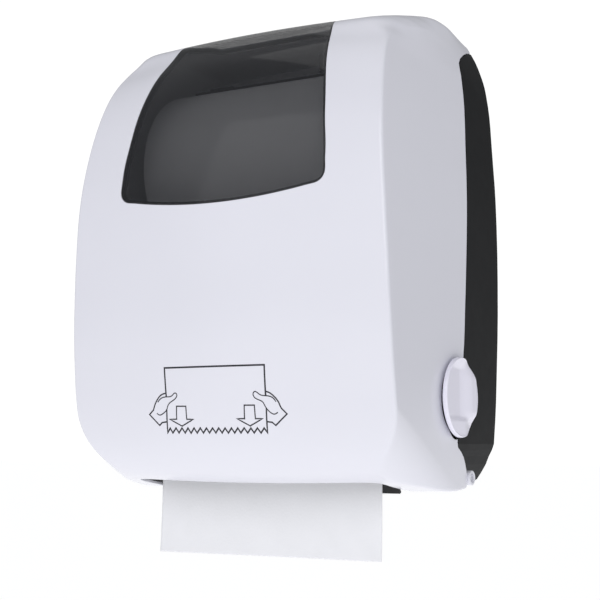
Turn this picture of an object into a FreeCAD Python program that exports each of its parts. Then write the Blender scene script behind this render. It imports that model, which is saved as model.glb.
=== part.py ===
import FreeCAD, Part
import math
import os

V = FreeCAD.Vector
Rot = FreeCAD.Rotation
Pla = FreeCAD.Placement

# Wall-mounted hand-towel dispenser: auto-cut drum, pull-by-hand, round feed knob.
# Frame: origin in the middle of the four wall screws, on the wall plane.
# +Z up, -Y towards the user, +X to the user's right. Millimetres.
doc = FreeCAD.newDocument("towel_dispenser")
sheet = doc.addObject("Spreadsheet::Sheet", "dims")
num = {}


def dim(name, value):
    r = len(num) + 1
    sheet.set("A%d" % r, name)
    sheet.set("B%d" % r, "%.6g" % value)
    sheet.setAlias("B%d" % r, name)
    num[name] = float(value)
    return name


# ---- driving dimensions -------------------------------------------------
for n_, v_ in (
    ("cover_wall", 2.6), ("housing_wall", 2.6), ("back_wall", 3.0),
    ("screw_pitch_x", 200.0), ("screw_pitch_z", 230.0), ("screw_hole_rad", 2.75),
    ("hinge_y", -48.0), ("hinge_z", -181.3), ("hinge_pin_rad", 2.45), ("hinge_bore_rad", 2.5),
    ("ear_rad", 5.8),
    ("drum_y", -80.0), ("drum_z", -120.0), ("drum_rad", 40.0), ("drum_half_len", 103.0),
    ("drum_wall", 3.2), ("shaft_rad", 4.0), ("knife_angle", 240.0),
    ("knife_piv_u", 24.0), ("knife_piv_v", 22.0),
    ("frame_in", 115.0), ("frame_thick", 3.0), ("bush_rad", 7.5),
    ("pinch_rad", 10.0), ("pinch_z", -69.5), ("pinch_axle_rad", 3.0),
    ("rod_y", -65.6), ("rod_z", -38.0), ("rod_rad", 4.0),
    ("roll_y", -80.0), ("roll_z", 70.0), ("roll_rad", 72.0), ("core_rad", 21.0), ("core_bore", 19.0),
    ("sheet_half", 100.0), ("paper_thick", 0.14), ("tail_y", -120.25), ("tail_low", -242.0),
    ("knob_rad", 30.5), ("knob_in", 144.5), ("knob_out", 149.0),
    ("lock_y", -22.0), ("lock_rad", 7.0),
):
    dim(n_, v_)


def ex(a):
    """An expression over the sheet: names become cells, numbers stay."""
    if isinstance(a, (int, float)):
        return "%.6g" % a
    out, word = "", ""
    for ch in a + " ":
        if ch.isalnum() or ch == "_" or (ch == "." and word and word[0].isdigit()):
            word += ch
        else:
            out += ("dims." + word) if word in num else word
            word = ""
            out += ch
    return out.strip()


def bind(obj, prop, a, hint):
    if isinstance(a, (int, float)):
        a = dim(hint, a)
    obj.setExpression(prop, ex(a))


def diff(b, a):
    if isinstance(a, (int, float)) and isinstance(b, (int, float)):
        return b - a
    return "(%s)-(%s)" % (b if isinstance(b, str) else "%.6g" % b, a if isinstance(a, str) else "%.6g" % a)


def box(label, x0, x1, y0, y1, z0, z1):
    o = doc.addObject("Part::Box", label)
    o.Label = label
    bind(o, "Length", diff(x1, x0), label + "_long")
    bind(o, "Width", diff(y1, y0), label + "_wide")
    bind(o, "Height", diff(z1, z0), label + "_high")
    bind(o, "Placement.Base.x", x0, label + "_at_x")
    bind(o, "Placement.Base.y", y0, label + "_at_y")
    bind(o, "Placement.Base.z", z0, label + "_at_z")
    return o


TURN = {"x": Rot(V(0, 1, 0), 90), "y": Rot(V(1, 0, 0), -90), "z": Rot()}


def rod(label, axis, rad, a0, a1, p, q):
    """Cylinder along an axis from a0 to a1; p and q are its other two coordinates in X, Y, Z order."""
    o = doc.addObject("Part::Cylinder", label)
    o.Label = label
    o.Placement = Pla(V(0, 0, 0), TURN[axis])
    bind(o, "Radius", rad, label + "_rad")
    bind(o, "Height", diff(a1, a0), label + "_high")
    at = {"x": (a0, p, q), "y": (p, a0, q), "z": (p, q, a0)}[axis]
    for k, c in zip("xyz", at):
        bind(o, "Placement.Base." + k, c, label + "_at_" + k)
    return o


def cone(label, axis, r1, r2, a0, a1, p, q):
    o = doc.addObject("Part::Cone", label)
    o.Label = label
    o.Placement = Pla(V(0, 0, 0), TURN[axis])
    bind(o, "Radius1", r1, label + "_rad_a")
    bind(o, "Radius2", r2, label + "_rad_b")
    bind(o, "Height", diff(a1, a0), label + "_high")
    at = {"x": (a0, p, q), "y": (p, a0, q), "z": (p, q, a0)}[axis]
    for k, c in zip("xyz", at):
        bind(o, "Placement.Base." + k, c, label + "_at_" + k)
    return o


def fuse(label, *parts):
    o = doc.addObject("Part::MultiFuse", label)
    o.Label = label
    o.Shapes = list(parts)
    return o


def cut(label, base, *tools):
    o = doc.addObject("Part::Cut", label)
    o.Label = label
    o.Base = base
    o.Tool = tools[0] if len(tools) == 1 else fuse(label + "_tools", *tools)
    return o


def both(label, a, b):
    o = doc.addObject("Part::Common", label)
    o.Label = label
    o.Base = a
    o.Tool = b
    return o


def group(label, *parts):
    o = doc.addObject("Part::Compound", label)
    o.Label = label
    o.Links = list(parts)
    return o


def feat(label, shape):
    o = doc.addObject("Part::Feature", label)
    o.Label = label
    o.Shape = shape
    return o


def plate_x(label, pts, x0, x1, holes=(), arcs=()):
    """A body padded along X from a side-view outline (y, z), with round holes (y, z, radius)."""
    body = doc.addObject("PartDesign::Body", label)
    body.Label = label
    plane = [f for f in body.Origin.OriginFeatures if f.Role == "YZ_Plane"][0]
    sk = body.newObject("Sketcher::SketchObject", label + "_outline")
    sk.AttachmentSupport = [(plane, "")]
    sk.MapMode = "FlatFace"
    n = len(pts)
    for i in range(n):
        a, b = pts[i], pts[(i + 1) % n]
        sk.addGeometry(Part.LineSegment(V(a[0], a[1], 0), V(b[0], b[1], 0)), False)
    import Sketcher
    for i in range(n):
        sk.addConstraint(Sketcher.Constraint("Coincident", i, 2, (i + 1) % n, 1))
    pad = body.newObject("PartDesign::Pad", label + "_pad")
    pad.Profile = sk
    bind(pad, "Length", diff(x1, x0), label + "_thick")
    doc.recompute()
    if holes:
        hs = body.newObject("Sketcher::SketchObject", label + "_hole_plan")
        hs.AttachmentSupport = [(plane, "")]
        hs.MapMode = "FlatFace"
        for i, (hy, hz, hr) in enumerate(holes):
            hs.addGeometry(Part.Circle(V(hy, hz, 0), V(0, 0, 1), hr), False)
            k = hs.addConstraint(Sketcher.Constraint("Radius", i, hr))
            hs.setExpression("Constraints[%d]" % k, ex(dim("%s_hole_%d_rad" % (label, i), hr)))
        before = body.Shape.Volume
        pk = body.newObject("PartDesign::Pocket", label + "_holes")
        pk.Profile = hs
        pk.Type = "ThroughAll"
        pk.Reversed = True
        doc.recompute()
        if body.Shape.Volume > before - 0.01:
            pk.Reversed = False
            doc.recompute()
        assert body.Shape.Volume < before - 0.01, label
    bind(body, "Placement.Base.x", x0, label + "_at_x")
    return body


def turned(label, prof, axis_y="drum_y", axis_z="drum_z", rot=None):
    """A body turned about X from a half section of (x, radius) points."""
    body = doc.addObject("PartDesign::Body", label)
    body.Label = label
    plane = [f for f in body.Origin.OriginFeatures if f.Role == "XY_Plane"][0]
    sk = body.newObject("Sketcher::SketchObject", label + "_section")
    sk.AttachmentSupport = [(plane, "")]
    sk.MapMode = "FlatFace"
    n = len(prof)
    for i in range(n):
        a, b = prof[i], prof[(i + 1) % n]
        sk.addGeometry(Part.LineSegment(V(a[0], a[1], 0), V(b[0], b[1], 0)), False)
    rev = body.newObject("PartDesign::Revolution", label + "_turn")
    rev.Profile = sk
    rev.ReferenceAxis = (sk, ["H_Axis"])
    bind(rev, "Angle", 360.0, label + "_sweep")
    if rot is not None:
        body.Placement = Pla(V(0, 0, 0), Rot(V(1, 0, 0), rot))
    bind(body, "Placement.Base.y", axis_y, label + "_at_y")
    bind(body, "Placement.Base.z", axis_z, label + "_at_z")
    return body


# ---- the outer form -----------------------------------------------------
# Side profile of the crease: y, z, half-width at the crease, crown of the face.
EDGE = (
    (8.0, 176.3, 123.0, 4.0), (-6.0, 178.6, 123.5, 4.0), (-18.6, 180.6, 124.5, 4.0),
    (-43.0, 183.2, 126.0, 3.8), (-66.7, 183.4, 126.0, 3.6), (-89.5, 180.9, 125.5, 3.6),
    (-111.5, 175.6, 122.5, 4.2), (-125.0, 171.6, 120.0, 5.0), (-133.5, 168.3, 118.5, 6.0),
    (-138.6, 164.8, 118.0, 7.0), (-141.9, 160.0, 118.6, 7.8), (-148.3, 150.0, 121.3, 8.3),
    (-156.5, 140.0, 123.7, 8.4), (-165.6, 126.0, 126.3, 8.4), (-172.8, 110.0, 128.7, 8.3),
    (-180.0, 87.0, 131.6, 8.2), (-184.8, 65.0, 133.9, 8.2), (-188.0, 43.0, 135.9, 8.2),
    (-189.3, 20.0, 137.6, 8.2), (-189.6, -3.0, 138.7, 8.2), (-189.3, -25.0, 139.7, 8.2),
    (-188.8, -48.0, 140.4, 8.2), (-187.8, -70.0, 141.1, 8.2), (-186.0, -93.0, 141.5, 8.2),
    (-183.6, -115.0, 141.8, 8.2), (-181.2, -130.0, 141.5, 8.0), (-178.0, -143.0, 141.2, 7.8),
    (-173.8, -155.0, 141.0, 7.4), (-168.0, -165.0, 141.0, 7.0), (-160.0, -173.0, 141.0, 6.4),
    (-149.0, -178.9, 141.0, 5.6), (-136.0, -182.6, 141.0, 4.6), (-120.0, -185.4, 141.0, 3.4),
    (-100.0, -188.2, 141.0, 2.0), (-82.0, -189.5, 141.0, 1.0), (-64.0, -189.0, 141.0, 0.5),
    (-48.0, -187.4, 141.0, 0.0), (8.0, -182.0, 141.0, 0.0),
)
# Outline where the side meets the wall: z, half-width.
WALL = (
    (-205.0, 138.0), (-180.0, 139.6), (-165.0, 140.4), (-155.2, 140.9), (-139.1, 142.2), (-119.8, 143.4),
    (-100.4, 144.2), (-80.9, 145.0), (-54.8, 145.9), (-28.6, 146.3), (-2.3, 146.4), (17.6, 146.2),
    (44.2, 145.5), (57.7, 144.9), (71.1, 144.0), (84.7, 143.1), (98.2, 142.4), (111.8, 141.5),
    (125.6, 139.9), (139.5, 137.3),
)
# Side surface near the top: rows of z, columns of y.
TOP_Y = (8.0, 0.0, -50.0, -100.0, -120.0, -137.0, -150.0, -170.0, -190.0, -215.0)
TOP = (
    (95.0, (142.9, 142.5, 138.6, 134.9, 133.5, 132.4, 131.6, 130.5, 129.4, 128.0)),
    (110.0, (142.1, 141.6, 137.4, 133.5, 132.1, 130.9, 130.0, 128.9, 127.6, 126.0)),
    (125.0, (140.5, 139.9, 135.7, 131.7, 130.1, 128.7, 127.7, 126.4, 124.8, 122.8)),
    (140.0, (138.0, 137.3, 133.6, 129.3, 127.4, 125.7, 124.4, 122.4, 120.2, 117.6)),
    (150.0, (134.9, 134.2, 131.4, 128.0, 125.9, 123.4, 121.2, 117.6, 114.0, 109.6)),
    (160.0, (131.0, 130.5, 129.2, 126.8, 123.8, 118.4, 114.2, 108.0, 101.8, 94.0)),
    (170.0, (125.9, 125.7, 127.4, 125.8, 121.8, 115.2, 110.0, 102.0, 94.0, 84.0)),
    (180.0, (119.9, 120.2, 125.8, 124.8, 120.2, 113.0, 107.0, 98.0, 89.0, 78.0)),
    (190.0, (113.9, 114.7, 124.2, 123.8, 118.8, 111.0, 104.6, 94.6, 84.6, 72.0)),
    (200.0, (107.9, 109.2, 122.6, 122.8, 117.4, 109.0, 102.2, 91.2, 80.2, 66.0)),
)


def table(x, tab):
    """Smooth monotone reading of a table of (x, value), continued in a straight line past its ends."""
    if tab[0][0] > tab[-1][0]:
        tab = tab[::-1]
    n = len(tab)
    h = [tab[i + 1][0] - tab[i][0] for i in range(n - 1)]
    d = [(tab[i + 1][1] - tab[i][1]) / h[i] for i in range(n - 1)]
    m = [d[0]] + [0.0] * (n - 2) + [d[-1]]
    for i in range(1, n - 1):
        if d[i - 1] * d[i] > 0:
            w1, w2 = 2 * h[i] + h[i - 1], h[i] + 2 * h[i - 1]
            m[i] = (w1 + w2) / (w1 / d[i - 1] + w2 / d[i])
    if x <= tab[0][0]:
        return tab[0][1] + m[0] * (x - tab[0][0])
    if x >= tab[-1][0]:
        return tab[-1][1] + m[-1] * (x - tab[-1][0])
    i = max(k for k in range(n - 1) if tab[k][0] <= x)
    u = (x - tab[i][0]) / h[i]
    return (tab[i][1] * (2 * u ** 3 - 3 * u * u + 1) + tab[i + 1][1] * (3 * u * u - 2 * u ** 3)
            + h[i] * (m[i] * (u ** 3 - 2 * u * u + u) + m[i + 1] * (u ** 3 - u * u)))


FRONT = [e for e in EDGE if e[0] <= -141.0]
CREASE_X = tuple((e[1], e[2]) for e in FRONT if e[1] > -120) + ((-140.0, 141.6), (-210.0, 140.8))
CREASE_Y = tuple((e[1], e[0]) for e in FRONT if e[1] > -120) + ((-130.0, -182.0), (-210.0, -178.0))


def top_side(y, z):
    return table(y, tuple((c, table(z, tuple((r[0], r[1][i]) for r in TOP))) for i, c in enumerate(TOP_Y)))


def side(y, z):
    """Half-width of the outer form at depth y and height z."""
    f = min(max((z - 95.0) / 50.0, 0.0), 1.0)
    f = f * f * (3 - 2 * f)
    x = 0.0
    if f < 1:
        xw = table(z, WALL)
        x = (1 - f) * (xw + (table(z, CREASE_X) - xw) * y / table(z, CREASE_Y))
    if f > 0:
        x += f * top_side(y, z)
    dz = -130.1 - 0.5485 * (y + 178.9) - z
    if dz > 0:
        d = min(dz, 36.0)
        x -= 45.0 * (1 - math.sqrt(1 - (d / 40.0) ** 2)) + 2.32 * (dz - d)
    return x


def cap(*edges):
    return Part.Face(Part.Wire(Part.__sortEdges__(list(edges))))


def line(a, b):
    return Part.LineSegment(a, b).toShape()


def spline(us, vs):
    """Natural cubic spline through (us, vs) as a function."""
    n = len(us)
    h = [us[i + 1] - us[i] for i in range(n - 1)]
    al = [0.0] * n
    for i in range(1, n - 1):
        al[i] = 3 * ((vs[i + 1] - vs[i]) / h[i] - (vs[i] - vs[i - 1]) / h[i - 1])
    l, mu, zz = [1.0] * n, [0.0] * n, [0.0] * n
    for i in range(1, n - 1):
        l[i] = 2 * (us[i + 1] - us[i - 1]) - h[i - 1] * mu[i - 1]
        mu[i] = h[i] / l[i]
        zz[i] = (al[i] - h[i - 1] * zz[i - 1]) / l[i]
    c = [0.0] * n
    b, d = [0.0] * n, [0.0] * n
    for j in range(n - 2, -1, -1):
        c[j] = zz[j] - mu[j] * c[j + 1]
        b[j] = (vs[j + 1] - vs[j]) / h[j] - h[j] * (c[j + 1] + 2 * c[j]) / 3
        d[j] = (c[j + 1] - c[j]) / (3 * h[j])

    def f(u):
        i = 0
        while i < n - 2 and us[i + 1] <= u:
            i += 1
        q = u - us[i]
        return vs[i] + b[i] * q + c[i] * q * q + d[i] * q ** 3
    return f


def profile(count):
    """The crease profile at even steps: y, z, half-width, crown and outward normal."""
    us = [0.0]
    for a, b in zip(EDGE, EDGE[1:]):
        us.append(us[-1] + math.hypot(b[0] - a[0], b[1] - a[1]))
    fs = [spline(us, [e[k] for e in EDGE]) for k in range(4)]
    raw = [tuple(f(us[-1] * i / (count - 1.0)) for f in fs) for i in range(count)]
    out = []
    for i, (y, z, w, c) in enumerate(raw):
        a, b = raw[max(i - 1, 0)], raw[min(i + 1, count - 1)]
        ty, tz = b[0] - a[0], b[1] - a[1]
        q = math.hypot(ty, tz)
        out.append((y, z, w, c, tz / q, -ty / q))
    return out


def square_up(s, rows, axis_u, axis_v):
    """Set the border poles of an interpolated surface exactly on their planes."""
    nu, nv = s.NbUPoles, s.NbVPoles
    for i in range(1, nu + 1):
        for j, r in ((1, 0), (nv, -1)):
            q = s.getPole(i, j)
            setattr(q, axis_v, getattr(rows[0][r], axis_v))
            s.setPole(i, j, q)
    for j in range(1, nv + 1):
        for i, r in ((1, 0), (nu, -1)):
            q = s.getPole(i, j)
            setattr(q, axis_u, getattr(rows[r][0], axis_u))
            s.setPole(i, j, q)


def band_form(off):
    """Closed form bounded by the front, roof and underside, off mm inside the skin."""
    xs = (-160.0, -120.0, -80.0, -40.0, 0.0, 40.0, 80.0, 120.0, 160.0)
    rows = []
    prof = profile(72)
    n = len(prof)
    for i, (y, z, w, c, ny, nz) in enumerate(prof):
        row = []
        for x in xs:
            k = c * (1 - (x / w) ** 2) - off
            yy = y if i in (0, n - 1) else y + ny * k
            row.append(V(x, yy, z + nz * k))
        rows.append(row)
    s = Part.BSplineSurface()
    s.interpolate(rows)
    square_up(s, rows, "y", "x")
    f = s.toShape()
    p = {}
    for x in (-160.0, 160.0):
        p[x] = (rows[0][0 if x < 0 else -1], rows[-1][0 if x < 0 else -1])
    es = f.Edges

    def at(test):
        return [e for e in es if all(test(v.Point) for v in e.Vertexes)][0]

    left = at(lambda q: abs(q.x + 160) < 1e-4)
    right = at(lambda q: abs(q.x - 160) < 1e-4)
    top = at(lambda q: q.z > 100)
    low = at(lambda q: q.z < -100)
    l1, l2 = line(p[-160.0][0], p[-160.0][1]), line(p[160.0][0], p[160.0][1])
    sh = Part.makeShell([f, cap(left, l1), cap(right, l2), cap(top, l1, low, l2)])
    sh.sewShape()
    so = Part.makeSolid(sh)
    if so.Volume < 0:
        so.reverse()
    return so


GZ = tuple(-205.0 + 6.0 * i for i in range(18)) + (-90.0, -60.0, -30.0, 0.0, 30.0, 55.0, 75.0) + tuple(
    90.0 + 7.0 * i for i in range(16)) + (203.0,)
GY = tuple(8.0 - 14.0 * i for i in range(16)) + (-215.0,)


def side_form(off):
    """Closed form bounded by the two side surfaces, off mm inside the skin."""
    faces, corner = [], {}
    for sg in (1, -1):
        rows = [[V(sg * (side(y, z) - off), y, z) for y in GY] for z in GZ]
        s = Part.BSplineSurface()
        s.interpolate(rows)
        square_up(s, rows, "z", "y")
        f = s.toShape()
        faces.append(f)
        for i, z in ((0, GZ[0]), (-1, GZ[-1])):
            for j, y in ((0, GY[0]), (-1, GY[-1])):
                corner[sg, z, y] = rows[i][j]
    ln = {(z, y): line(corner[1, z, y], corner[-1, z, y]) for z in (GZ[0], GZ[-1]) for y in (GY[0], GY[-1])}

    def edge(f, ax, v):
        return [e for e in f.Edges if all(abs(getattr(w.Point, ax) - v) < 1e-4 for w in e.Vertexes)][0]

    for z in (GZ[0], GZ[-1]):
        faces.append(cap(edge(faces[0], "z", z), ln[z, GY[0]], edge(faces[1], "z", z), ln[z, GY[-1]]))
    for y in (GY[0], GY[-1]):
        faces.append(cap(edge(faces[0], "y", y), ln[GZ[0], y], edge(faces[1], "y", y), ln[GZ[-1], y]))
    sh = Part.makeShell(faces)
    sh.sewShape()
    so = Part.makeSolid(sh)
    if so.Volume < 0:
        so.reverse()
    return so


def prism_x(pts, x0, x1):
    w = Part.makePolygon([V(x0, p[0], p[1]) for p in pts] + [V(x0, pts[0][0], pts[0][1])])
    return Part.Face(w).extrude(V(x1 - x0, 0, 0))


def prism_y(pts, y0, y1):
    w = Part.makePolygon([V(p[0], y0, p[1]) for p in pts] + [V(pts[0][0], y0, pts[0][1])])
    return Part.Face(w).extrude(V(0, y1 - y0, 0))


def prism_z(pts, z0, z1):
    w = Part.makePolygon([V(p[0], p[1], z0) for p in pts] + [V(pts[0][0], pts[0][1], z0)])
    return Part.Face(w).extrude(V(0, 0, z1 - z0))


cw = num["cover_wall"]
hw = num["housing_wall"]


# ---- window outline in front view ---------------------------------------
def window_half():
    pts = [(x, 24.6 + 0.0011 * x * x) for x in (0, 12, 24, 36, 48, 60, 70, 78)]
    cx, cz, r = 82.0, 41.6, 9.6
    for a in (-80, -62, -44, -26, -8):
        pts.append((cx + r * math.cos(math.radians(a)), cz + r * math.sin(math.radians(a))))
    pts += [(91.4, 47.0), (90.9, 58.0), (89.6, 70.0), (88.2, 80.0), (86.5, 95.0), (84.2, 110.0), (81.2, 125.0),
            (77.8, 140.0), (74.6, 152.0), (71.8, 164.0), (69.2, 178.0), (67.0, 205.0)]
    return pts


def window_tool(grow, y0, y1):
    half = window_half()
    n = len(half)
    out = []
    for i, (x, z) in enumerate(half):
        a = half[i - 1] if i else (-half[1][0], half[1][1])
        b = half[i + 1] if i < n - 1 else half[i]
        tx, tz = b[0] - a[0], b[1] - a[1]
        q = math.hypot(tx, tz)
        out.append((x + tz / q * grow, z - tx / q * grow))
    full = [(-x, z) for x, z in out[:0:-1]] + out
    c = Part.BSplineCurve()
    c.interpolate([V(x, y0, z) for x, z in full])
    e = c.toShape()
    lid = line(V(full[-1][0], y0, full[-1][1]), V(full[0][0], y0, full[0][1]))
    return Part.Face(Part.Wire([e, lid])).extrude(V(0, y1 - y0, 0))


# ---- hinge pins ---------------------------------------------------------
pin_r = rod("pin_right", "x", "hinge_pin_rad", 123, 139.2, "hinge_y", "hinge_z")
pin_l = rod("pin_left", "x", "hinge_pin_rad", -139.2, -123, "hinge_y", "hinge_z")
hinge_pins = group("hinge_pins", pin_r, pin_l)

# ---- side frames --------------------------------------------------------
FR = ((-3.0, -20.0), (-58.0, -24.0), (-76.0, -34.0), (-92.0, -52.0), (-112.0, -66.0), (-131.0, -84.0), (-131.0, -172.0),
      (-122.0, -181.5), (-3.0, -181.5))
fr_r = plate_x("frame_plate_right", FR, "frame_in", "frame_in+frame_thick",
               ((-80.0, -120.0, 7.5), (-65.6, -38.0, 4.0), (-104.0, -94.0, 2.0)))
fr_l = plate_x("frame_plate_left", FR, "-frame_in-frame_thick", "-frame_in",
               ((-80.0, -120.0, 7.5), (-65.6, -38.0, 4.0)))
slot_r = box("pinch_slot_right", 110, 125, -83.05, -76.95, -72.75, -58)
slot_l = box("pinch_slot_left", -125, -110, -83.05, -76.95, -72.75, -58)


def frame_side(tag, plate, slot, s):
    fl = box("frame_foot_" + tag, min(s * 115, s * 128), max(s * 115, s * 128), -5.6, -3.0, -176, -60)
    h1 = rod("foot_hole_a_" + tag, "y", 1.6, -10, 0, s * 122.0, -70)
    h2 = rod("foot_hole_b_" + tag, "y", 1.6, -10, 0, s * 122.0, -165)
    return cut("side_frame_" + tag, fuse("frame_blank_" + tag, plate, fl), slot, h1, h2)


side_frame_right = frame_side("right", fr_r, slot_r, 1)
side_frame_left = frame_side("left", fr_l, slot_l, -1)
screws = []
for k, (sx, sz) in enumerate(((1, -70), (1, -165), (-1, -70), (-1, -165))):
    screws.append(fuse("frame_screw_%d" % k, rod("frame_screw_head_%d" % k, "y", 3.0, -7.8, -5.6, sx * 122.0, sz),
                       rod("frame_screw_shank_%d" % k, "y", 1.48, -6.0, -1.0, sx * 122.0, sz)))
frame_screws = group("frame_screws", *screws)
guide_rod = rod("guide_rod", "x", "rod_rad-0.02", -118.5, 118.5, "rod_y", "rod_z")

# ---- paper chute and drum guard ----------------------------------------
CH = ((-114.5, -163.5), (-112.5, -163.5), (-112.0, -175.0), (-109.5, -184.0), (-104.5, -191.0), (-106.5, -192.2),
      (-111.6, -185.0), (-114.2, -176.0))
chute = fuse("paper_chute", plate_x("chute_wall", CH, -108.0, 108.0),
             box("chute_foot", -108, 108, -111.0, -97.0, -184.0, -181.8),
             box("chute_end_right", 106, 114.8, -113.4, -97.0, -184.0, -170.0),
             box("chute_end_left", -114.8, -106, -113.4, -97.0, -184.0, -170.0))
GD = ((-110.0, -84.0), (-119.0, -92.0), (-125.0, -104.0), (-126.5, -118.0), (-126.5, -160.0), (-124.0, -173.0),
      (-126.2, -174.0), (-128.9, -160.5), (-129.0, -117.5), (-127.2, -103.0), (-120.8, -90.2), (-111.4, -81.9))
guard = fuse("drum_guard", plate_x("guard_wall", GD, -112.0, 112.0),
             box("guard_end_right", 110, 114.8, -129.0, -120.0, -165.0, -112.0),
             box("guard_end_left", -114.8, -110, -129.0, -120.0, -165.0, -112.0))

# ---- drum ---------------------------------------------------------------
da = num["knife_angle"]
R = num["drum_rad"]
dw = num["drum_wall"]
L = num["drum_half_len"]


def placed(obj):
    """Turn a piece drawn in the drum's own frame (slot along +Y) to its rest angle and set it on the axis."""
    obj.Placement = Pla(V(0, num["drum_y"], num["drum_z"]), Rot(V(1, 0, 0), da))
    obj.setExpression("Placement.Base.y", "dims.drum_y")
    obj.setExpression("Placement.Base.z", "dims.drum_z")
    return obj


tube = cut("drum_tube", rod("drum_out", "x", "drum_rad", "-drum_half_len", "drum_half_len", 0, 0),
           rod("drum_in", "x", "drum_rad-drum_wall", -99, 99, 0, 0),
           rod("drum_bore", "x", "shaft_rad+0.02", -110, 110, 0, 0),
           box("drum_slot", -98.4, 98.4, 15, 50, -5.5, 12.5),
           box("drum_arm_window", -110, -90, 6, 36, -4, 34),
           rod("knife_bore_right", "x", 2.55, 90, 110, "knife_piv_u", "knife_piv_v"))
split_a = box("drum_split_a", -120, 120, -5.9, 60, -60, 60)
split_b = box("drum_split_b", -120, 120, -60, -6.1, -60, 60)
ribs = []
for k, x in enumerate((-60.0, -20.0, 20.0, 60.0)):
    web = cut("drum_web_%d" % k, rod("drum_web_disc_%d" % k, "x", 37.5, x - 1.2, x + 1.2, 0, 0),
              rod("drum_web_bore_%d" % k, "x", "shaft_rad+0.02", x - 2, x + 2, 0, 0),
              box("drum_web_room_%d" % k, x - 2, x + 2, -6.0, 60, -60, 60))
    ribs.append(web)
half_a = both("drum_half_front_raw", tube, split_a)
half_b = fuse("drum_half_rear_raw", both("drum_half_rear_cut", tube, split_b), *ribs)
pads = []
rooms = []
for k, a in enumerate((120.0, 160.0, 200.0, 240.0)):
    for nm, deep_, lst in (("pad", 1.6, pads), ("room", 1.6, rooms)):
        b = doc.addObject("Part::Box", "grip_%s_%d" % (nm, k))
        b.Label = "grip_%s_%d" % (nm, k)
        bind(b, "Length", 192.0, "grip_%s_%d_long" % (nm, k))
        bind(b, "Width", 4.0, "grip_%s_%d_deep" % (nm, k))
        bind(b, "Height", 9.0, "grip_%s_%d_wide" % (nm, k))
        # the strip's floor lies 1.6 mm under the drum's skin
        pl = Pla(V(0, 0, 0), Rot(V(1, 0, 0), a)).multiply(Pla(V(-96, R - 1.6, -4.5), Rot()))
        b.Placement = pl
        lst.append(b)
drum_front = placed(cut("drum_half_front", half_a, *[box("front_dummy_relief", -120, 120, 60, 61, 0, 1)]))
drum_rear = placed(cut("drum_half_rear", half_b, *rooms))
grips = []
for k, p in enumerate(pads):
    grips.append(both("grip_strip_%d" % k, p, rod("grip_limit_%d" % k, "x", "drum_rad", -100, 100, 0, 0)))
grip_strips = placed(group("grip_strips", *grips))
drum_shaft = fuse("drum_shaft", rod("shaft_bar", "x", "shaft_rad", -127.5, 134.0, "drum_y", "drum_z"),
                  rod("shaft_collar", "x", 6.0, 103.2, 105.6, "drum_y", "drum_z"))


def bush(tag, s):
    a, b, c = s * 113.6, s * 115.0, s * 118.0
    return cut("drum_bush_" + tag,
               fuse("bush_blank_" + tag,
                    rod("bush_flange_" + tag, "x", 10.0, min(a, b), max(a, b), "drum_y", "drum_z"),
                    rod("bush_sleeve_" + tag, "x", "bush_rad-0.01", min(b, c), max(b, c), "drum_y", "drum_z")),
               rod("bush_bore_" + tag, "x", "shaft_rad+0.05", min(a, c) - 1, max(a, c) + 1, "drum_y", "drum_z"))


bush_r, bush_l = bush("right", 1), bush("left", -1)

# Ratchet wheel on the drum shaft and its pawl on the right frame.
teeth = []
NT = 16
for i in range(NT):
    a0 = 2 * math.pi * i / NT
    teeth.append((15.0 * math.cos(a0), 15.0 * math.sin(a0)))
    teeth.append((18.4 * math.cos(a0 + 0.01), 18.4 * math.sin(a0 + 0.01)))
ratchet_wheel = plate_x("ratchet_wheel", teeth, 106.0, 110.0, ((0.0, 0.0, 4.02),))
ratchet_wheel.setExpression("Placement.Base.y", "dims.drum_y")
ratchet_wheel.setExpression("Placement.Base.z", "dims.drum_z")
pawl = plate_x("pawl", ((-100.2, -92.0), (-101.6, -97.6), (-106.0, -97.8), (-107.6, -94.0), (-105.6, -90.4),
                                    (-101.0, -90.0), (-94.8, -97.6), (-92.2, -101.6), (-92.7, -102.6), (-95.6, -100.6)),
                     106.2, 109.8, ((-104.0, -94.0, 2.05),))
pawl_pin = fuse("pawl_pin", rod("pawl_pin_bar", "x", 1.98, 105.0, 118.4, -104, -94),
                rod("pawl_pin_head", "x", 3.2, 103.8, 105.6, -104, -94))

# Crank that carries the drum over dead centre with an extension spring, outside the left frame.
crank_disc = turned("crank_disc", ((-125.0, 4.02), (-125.0, 22.0), (-121.0, 22.0), (-121.0, 9.0), (-119.0, 9.0),
                                         (-119.0, 4.02)))
crank_pin = fuse("crank_pin", rod("crank_pin_bar", "x", 2.0, -130.6, -125.0, -80, -103.5),
                 rod("crank_pin_head", "x", 3.2, -132.0, -130.4, -80, -103.5))
spring_peg = fuse("spring_peg", rod("peg_bar", "x", 2.0, -130.6, -118.0, -58, -40),
                  rod("peg_head", "x", 3.2, -132.0, -130.4, -58, -40),
                  rod("peg_foot", "x", 4.2, -119.4, -118.0, -58, -40))

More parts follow.
